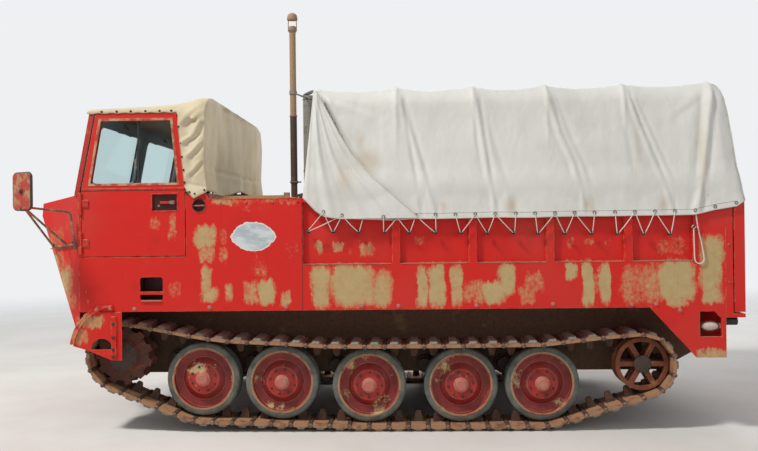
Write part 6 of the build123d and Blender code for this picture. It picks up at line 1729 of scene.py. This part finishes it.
def add_side_fittings():
    """Lips, seams and small fittings on both side walls."""
    trim = Piece("side_fittings", SOOT_STEEL_AND_SHADE, HUB_PINK, RIM_TAN, HULL_PAINT)
    for side in (1, -1):
        port = [(PORT_AT[0] + 0.054 * math.cos(a), side * (SIDE + 0.002), PORT_AT[1] + 0.054 * math.sin(a))
                for a in around(32)]
        trim.tube(port, 0.0042, 0, 8, caps=False)
        trim.turned([(0.017, 0.001), (0.017, 0.003), (0.013, 0.004), (0.012, 0.002), (0, 0.002)],
                    (1.619, side * SIDE, 1.968), (0, side, 0), 0, 16)
        trim.rod((1.490, side * (SIDE - 0.012), 1.865), (1.564, side * (SIDE - 0.012), 1.865), 0.0075, 1,
                 10)
        # the step pocket: a pale lip below, worn paint with a painted highlight on its edge, and a rim
        # round its corners
        start = side * (SIDE - 0.004)
        trim.slab([(1.842, 1.089), (2.008, 1.089), (2.008, 1.100), (1.842, 1.100)], start, side * 0.016, 1)
        trim.slab([(1.832, 1.1425), (2.016, 1.1425), (2.016, 1.1685), (1.832, 1.1685)], start,
                  side * 0.0055, 3)
        # a thin welded strip along the foot of each recess and along the deck's edge
        start = side * (SIDE - 0.002)
        for low, high in RECESSES:
            trim.slab([(low, 1.373), (high, 1.373), (high, 1.3795), (low, 1.3795)], start, side * 0.0045, 2)
        for z, low, high in ((1.884, -2.436, 0.676), (1.912, 0.700, 1.450)):
            trim.slab([(low, z), (high, z), (high, z + 0.006), (low, z + 0.006)], start, side * 0.0042, 3)
        # seam between the cab's and the bed's side plates
        trim.slab([(0.688, 1.010), (0.692, 1.010), (0.692, 1.905), (0.688, 1.905)], start, side * 0.0035, 0)
    trim.done(sharp=30)


# Floor, backdrop and lights
def make_stage():
    """A wide pale floor, and a world that lights evenly and shows pale behind."""
    bpy.ops.mesh.primitive_plane_add(size=120, location=(0, 0, 0))
    floor = bpy.context.object
    floor.name = "floor"
    look = Look("floor")
    look.finish(look.mix(look.step(look.noise(0.8, 5, 0.6), 0.3, 0.7), rgb(226, 224, 220),
                         rgb(216, 213, 208)), 0.85)
    fade = look.add("ShaderNodeMixShader")
    look.feed(look.step(look.vector("LENGTH", look.place), 5.0, 17.0), fade.inputs[0])
    look.feed(look.shader.outputs[0], fade.inputs[1])
    look.feed(look.add("ShaderNodeBsdfTransparent").outputs[0], fade.inputs[2])
    look.feed(fade.outputs[0], look.tree.nodes["Material Output"].inputs["Surface"])
    floor.data.materials.append(look.material)

    world = bpy.data.worlds.new("world")
    bpy.context.scene.world = world
    world.use_nodes = True
    tree = world.node_tree
    tree.nodes.clear()
    path = tree.nodes.new("ShaderNodeLightPath")
    seen = tree.nodes.new("ShaderNodeMath")
    seen.operation = "MAXIMUM"
    tree.links.new(path.outputs["Is Camera Ray"], seen.inputs[0])
    seen_through = tree.nodes.new("ShaderNodeMath")
    seen_through.operation = "MAXIMUM"
    tree.links.new(path.outputs["Is Glossy Ray"], seen_through.inputs[0])
    tree.links.new(path.outputs["Is Transmission Ray"], seen_through.inputs[1])
    tree.links.new(seen_through.outputs[0], seen.inputs[1])
    light = tree.nodes.new("ShaderNodeBackground")
    light.inputs["Color"].default_value = (0.93, 0.96, 1.0, 1.0)
    light.inputs["Strength"].default_value = 0.33
    shown = tree.nodes.new("ShaderNodeBackground")
    shown.inputs["Color"].default_value = rgb(238, 240, 242)
    either = tree.nodes.new("ShaderNodeMixShader")
    tree.links.new(seen.outputs[0], either.inputs[0])
    tree.links.new(light.outputs[0], either.inputs[1])
    tree.links.new(shown.outputs[0], either.inputs[2])
    out = tree.nodes.new("ShaderNodeOutputWorld")
    tree.links.new(either.outputs[0], out.inputs[0])


def add_lamp(name, place, aim, size, power, colour=(1, 1, 1)):
    """One square soft lamp, aimed at a point."""
    data = bpy.data.lights.new(name, "AREA")
    data.size = size
    data.energy = power
    data.color = colour
    lamp = bpy.data.objects.new(name, data)
    lamp.location = place
    lamp.rotation_mode = "QUATERNION"
    lamp.rotation_quaternion = (Vector(place) - Vector(aim)).to_track_quat("Z", "Y")
    bpy.context.scene.collection.objects.link(lamp)


add_rope()
for side in (1, -1):
    add_track(side)
    add_door_trim(side)
    add_lid_trim(side)
add_wheel_parts()
add_bolts()
add_tarp()
add_lacing()
add_cab_canvas()
add_seats()
add_cab_fittings()
add_mirror_trim()
add_stack_trim()
add_lamps()
add_gate_trim()
add_side_fittings()
make_stage()
add_lamp("key", (7.4, 6.2, 13.2), (0, 0.8, 1.4), 2.0, 1800, (1.0, 0.98, 0.94))
add_lamp("fill", (-7.0, 9.0, 5.0), (0, 0, 1.2), 6.0, 120)
add_lamp("back", (-3.0, -9.0, 7.0), (0, 0, 1.4), 6.0, 420)
bpy.context.scene.view_settings.view_transform = "Standard"
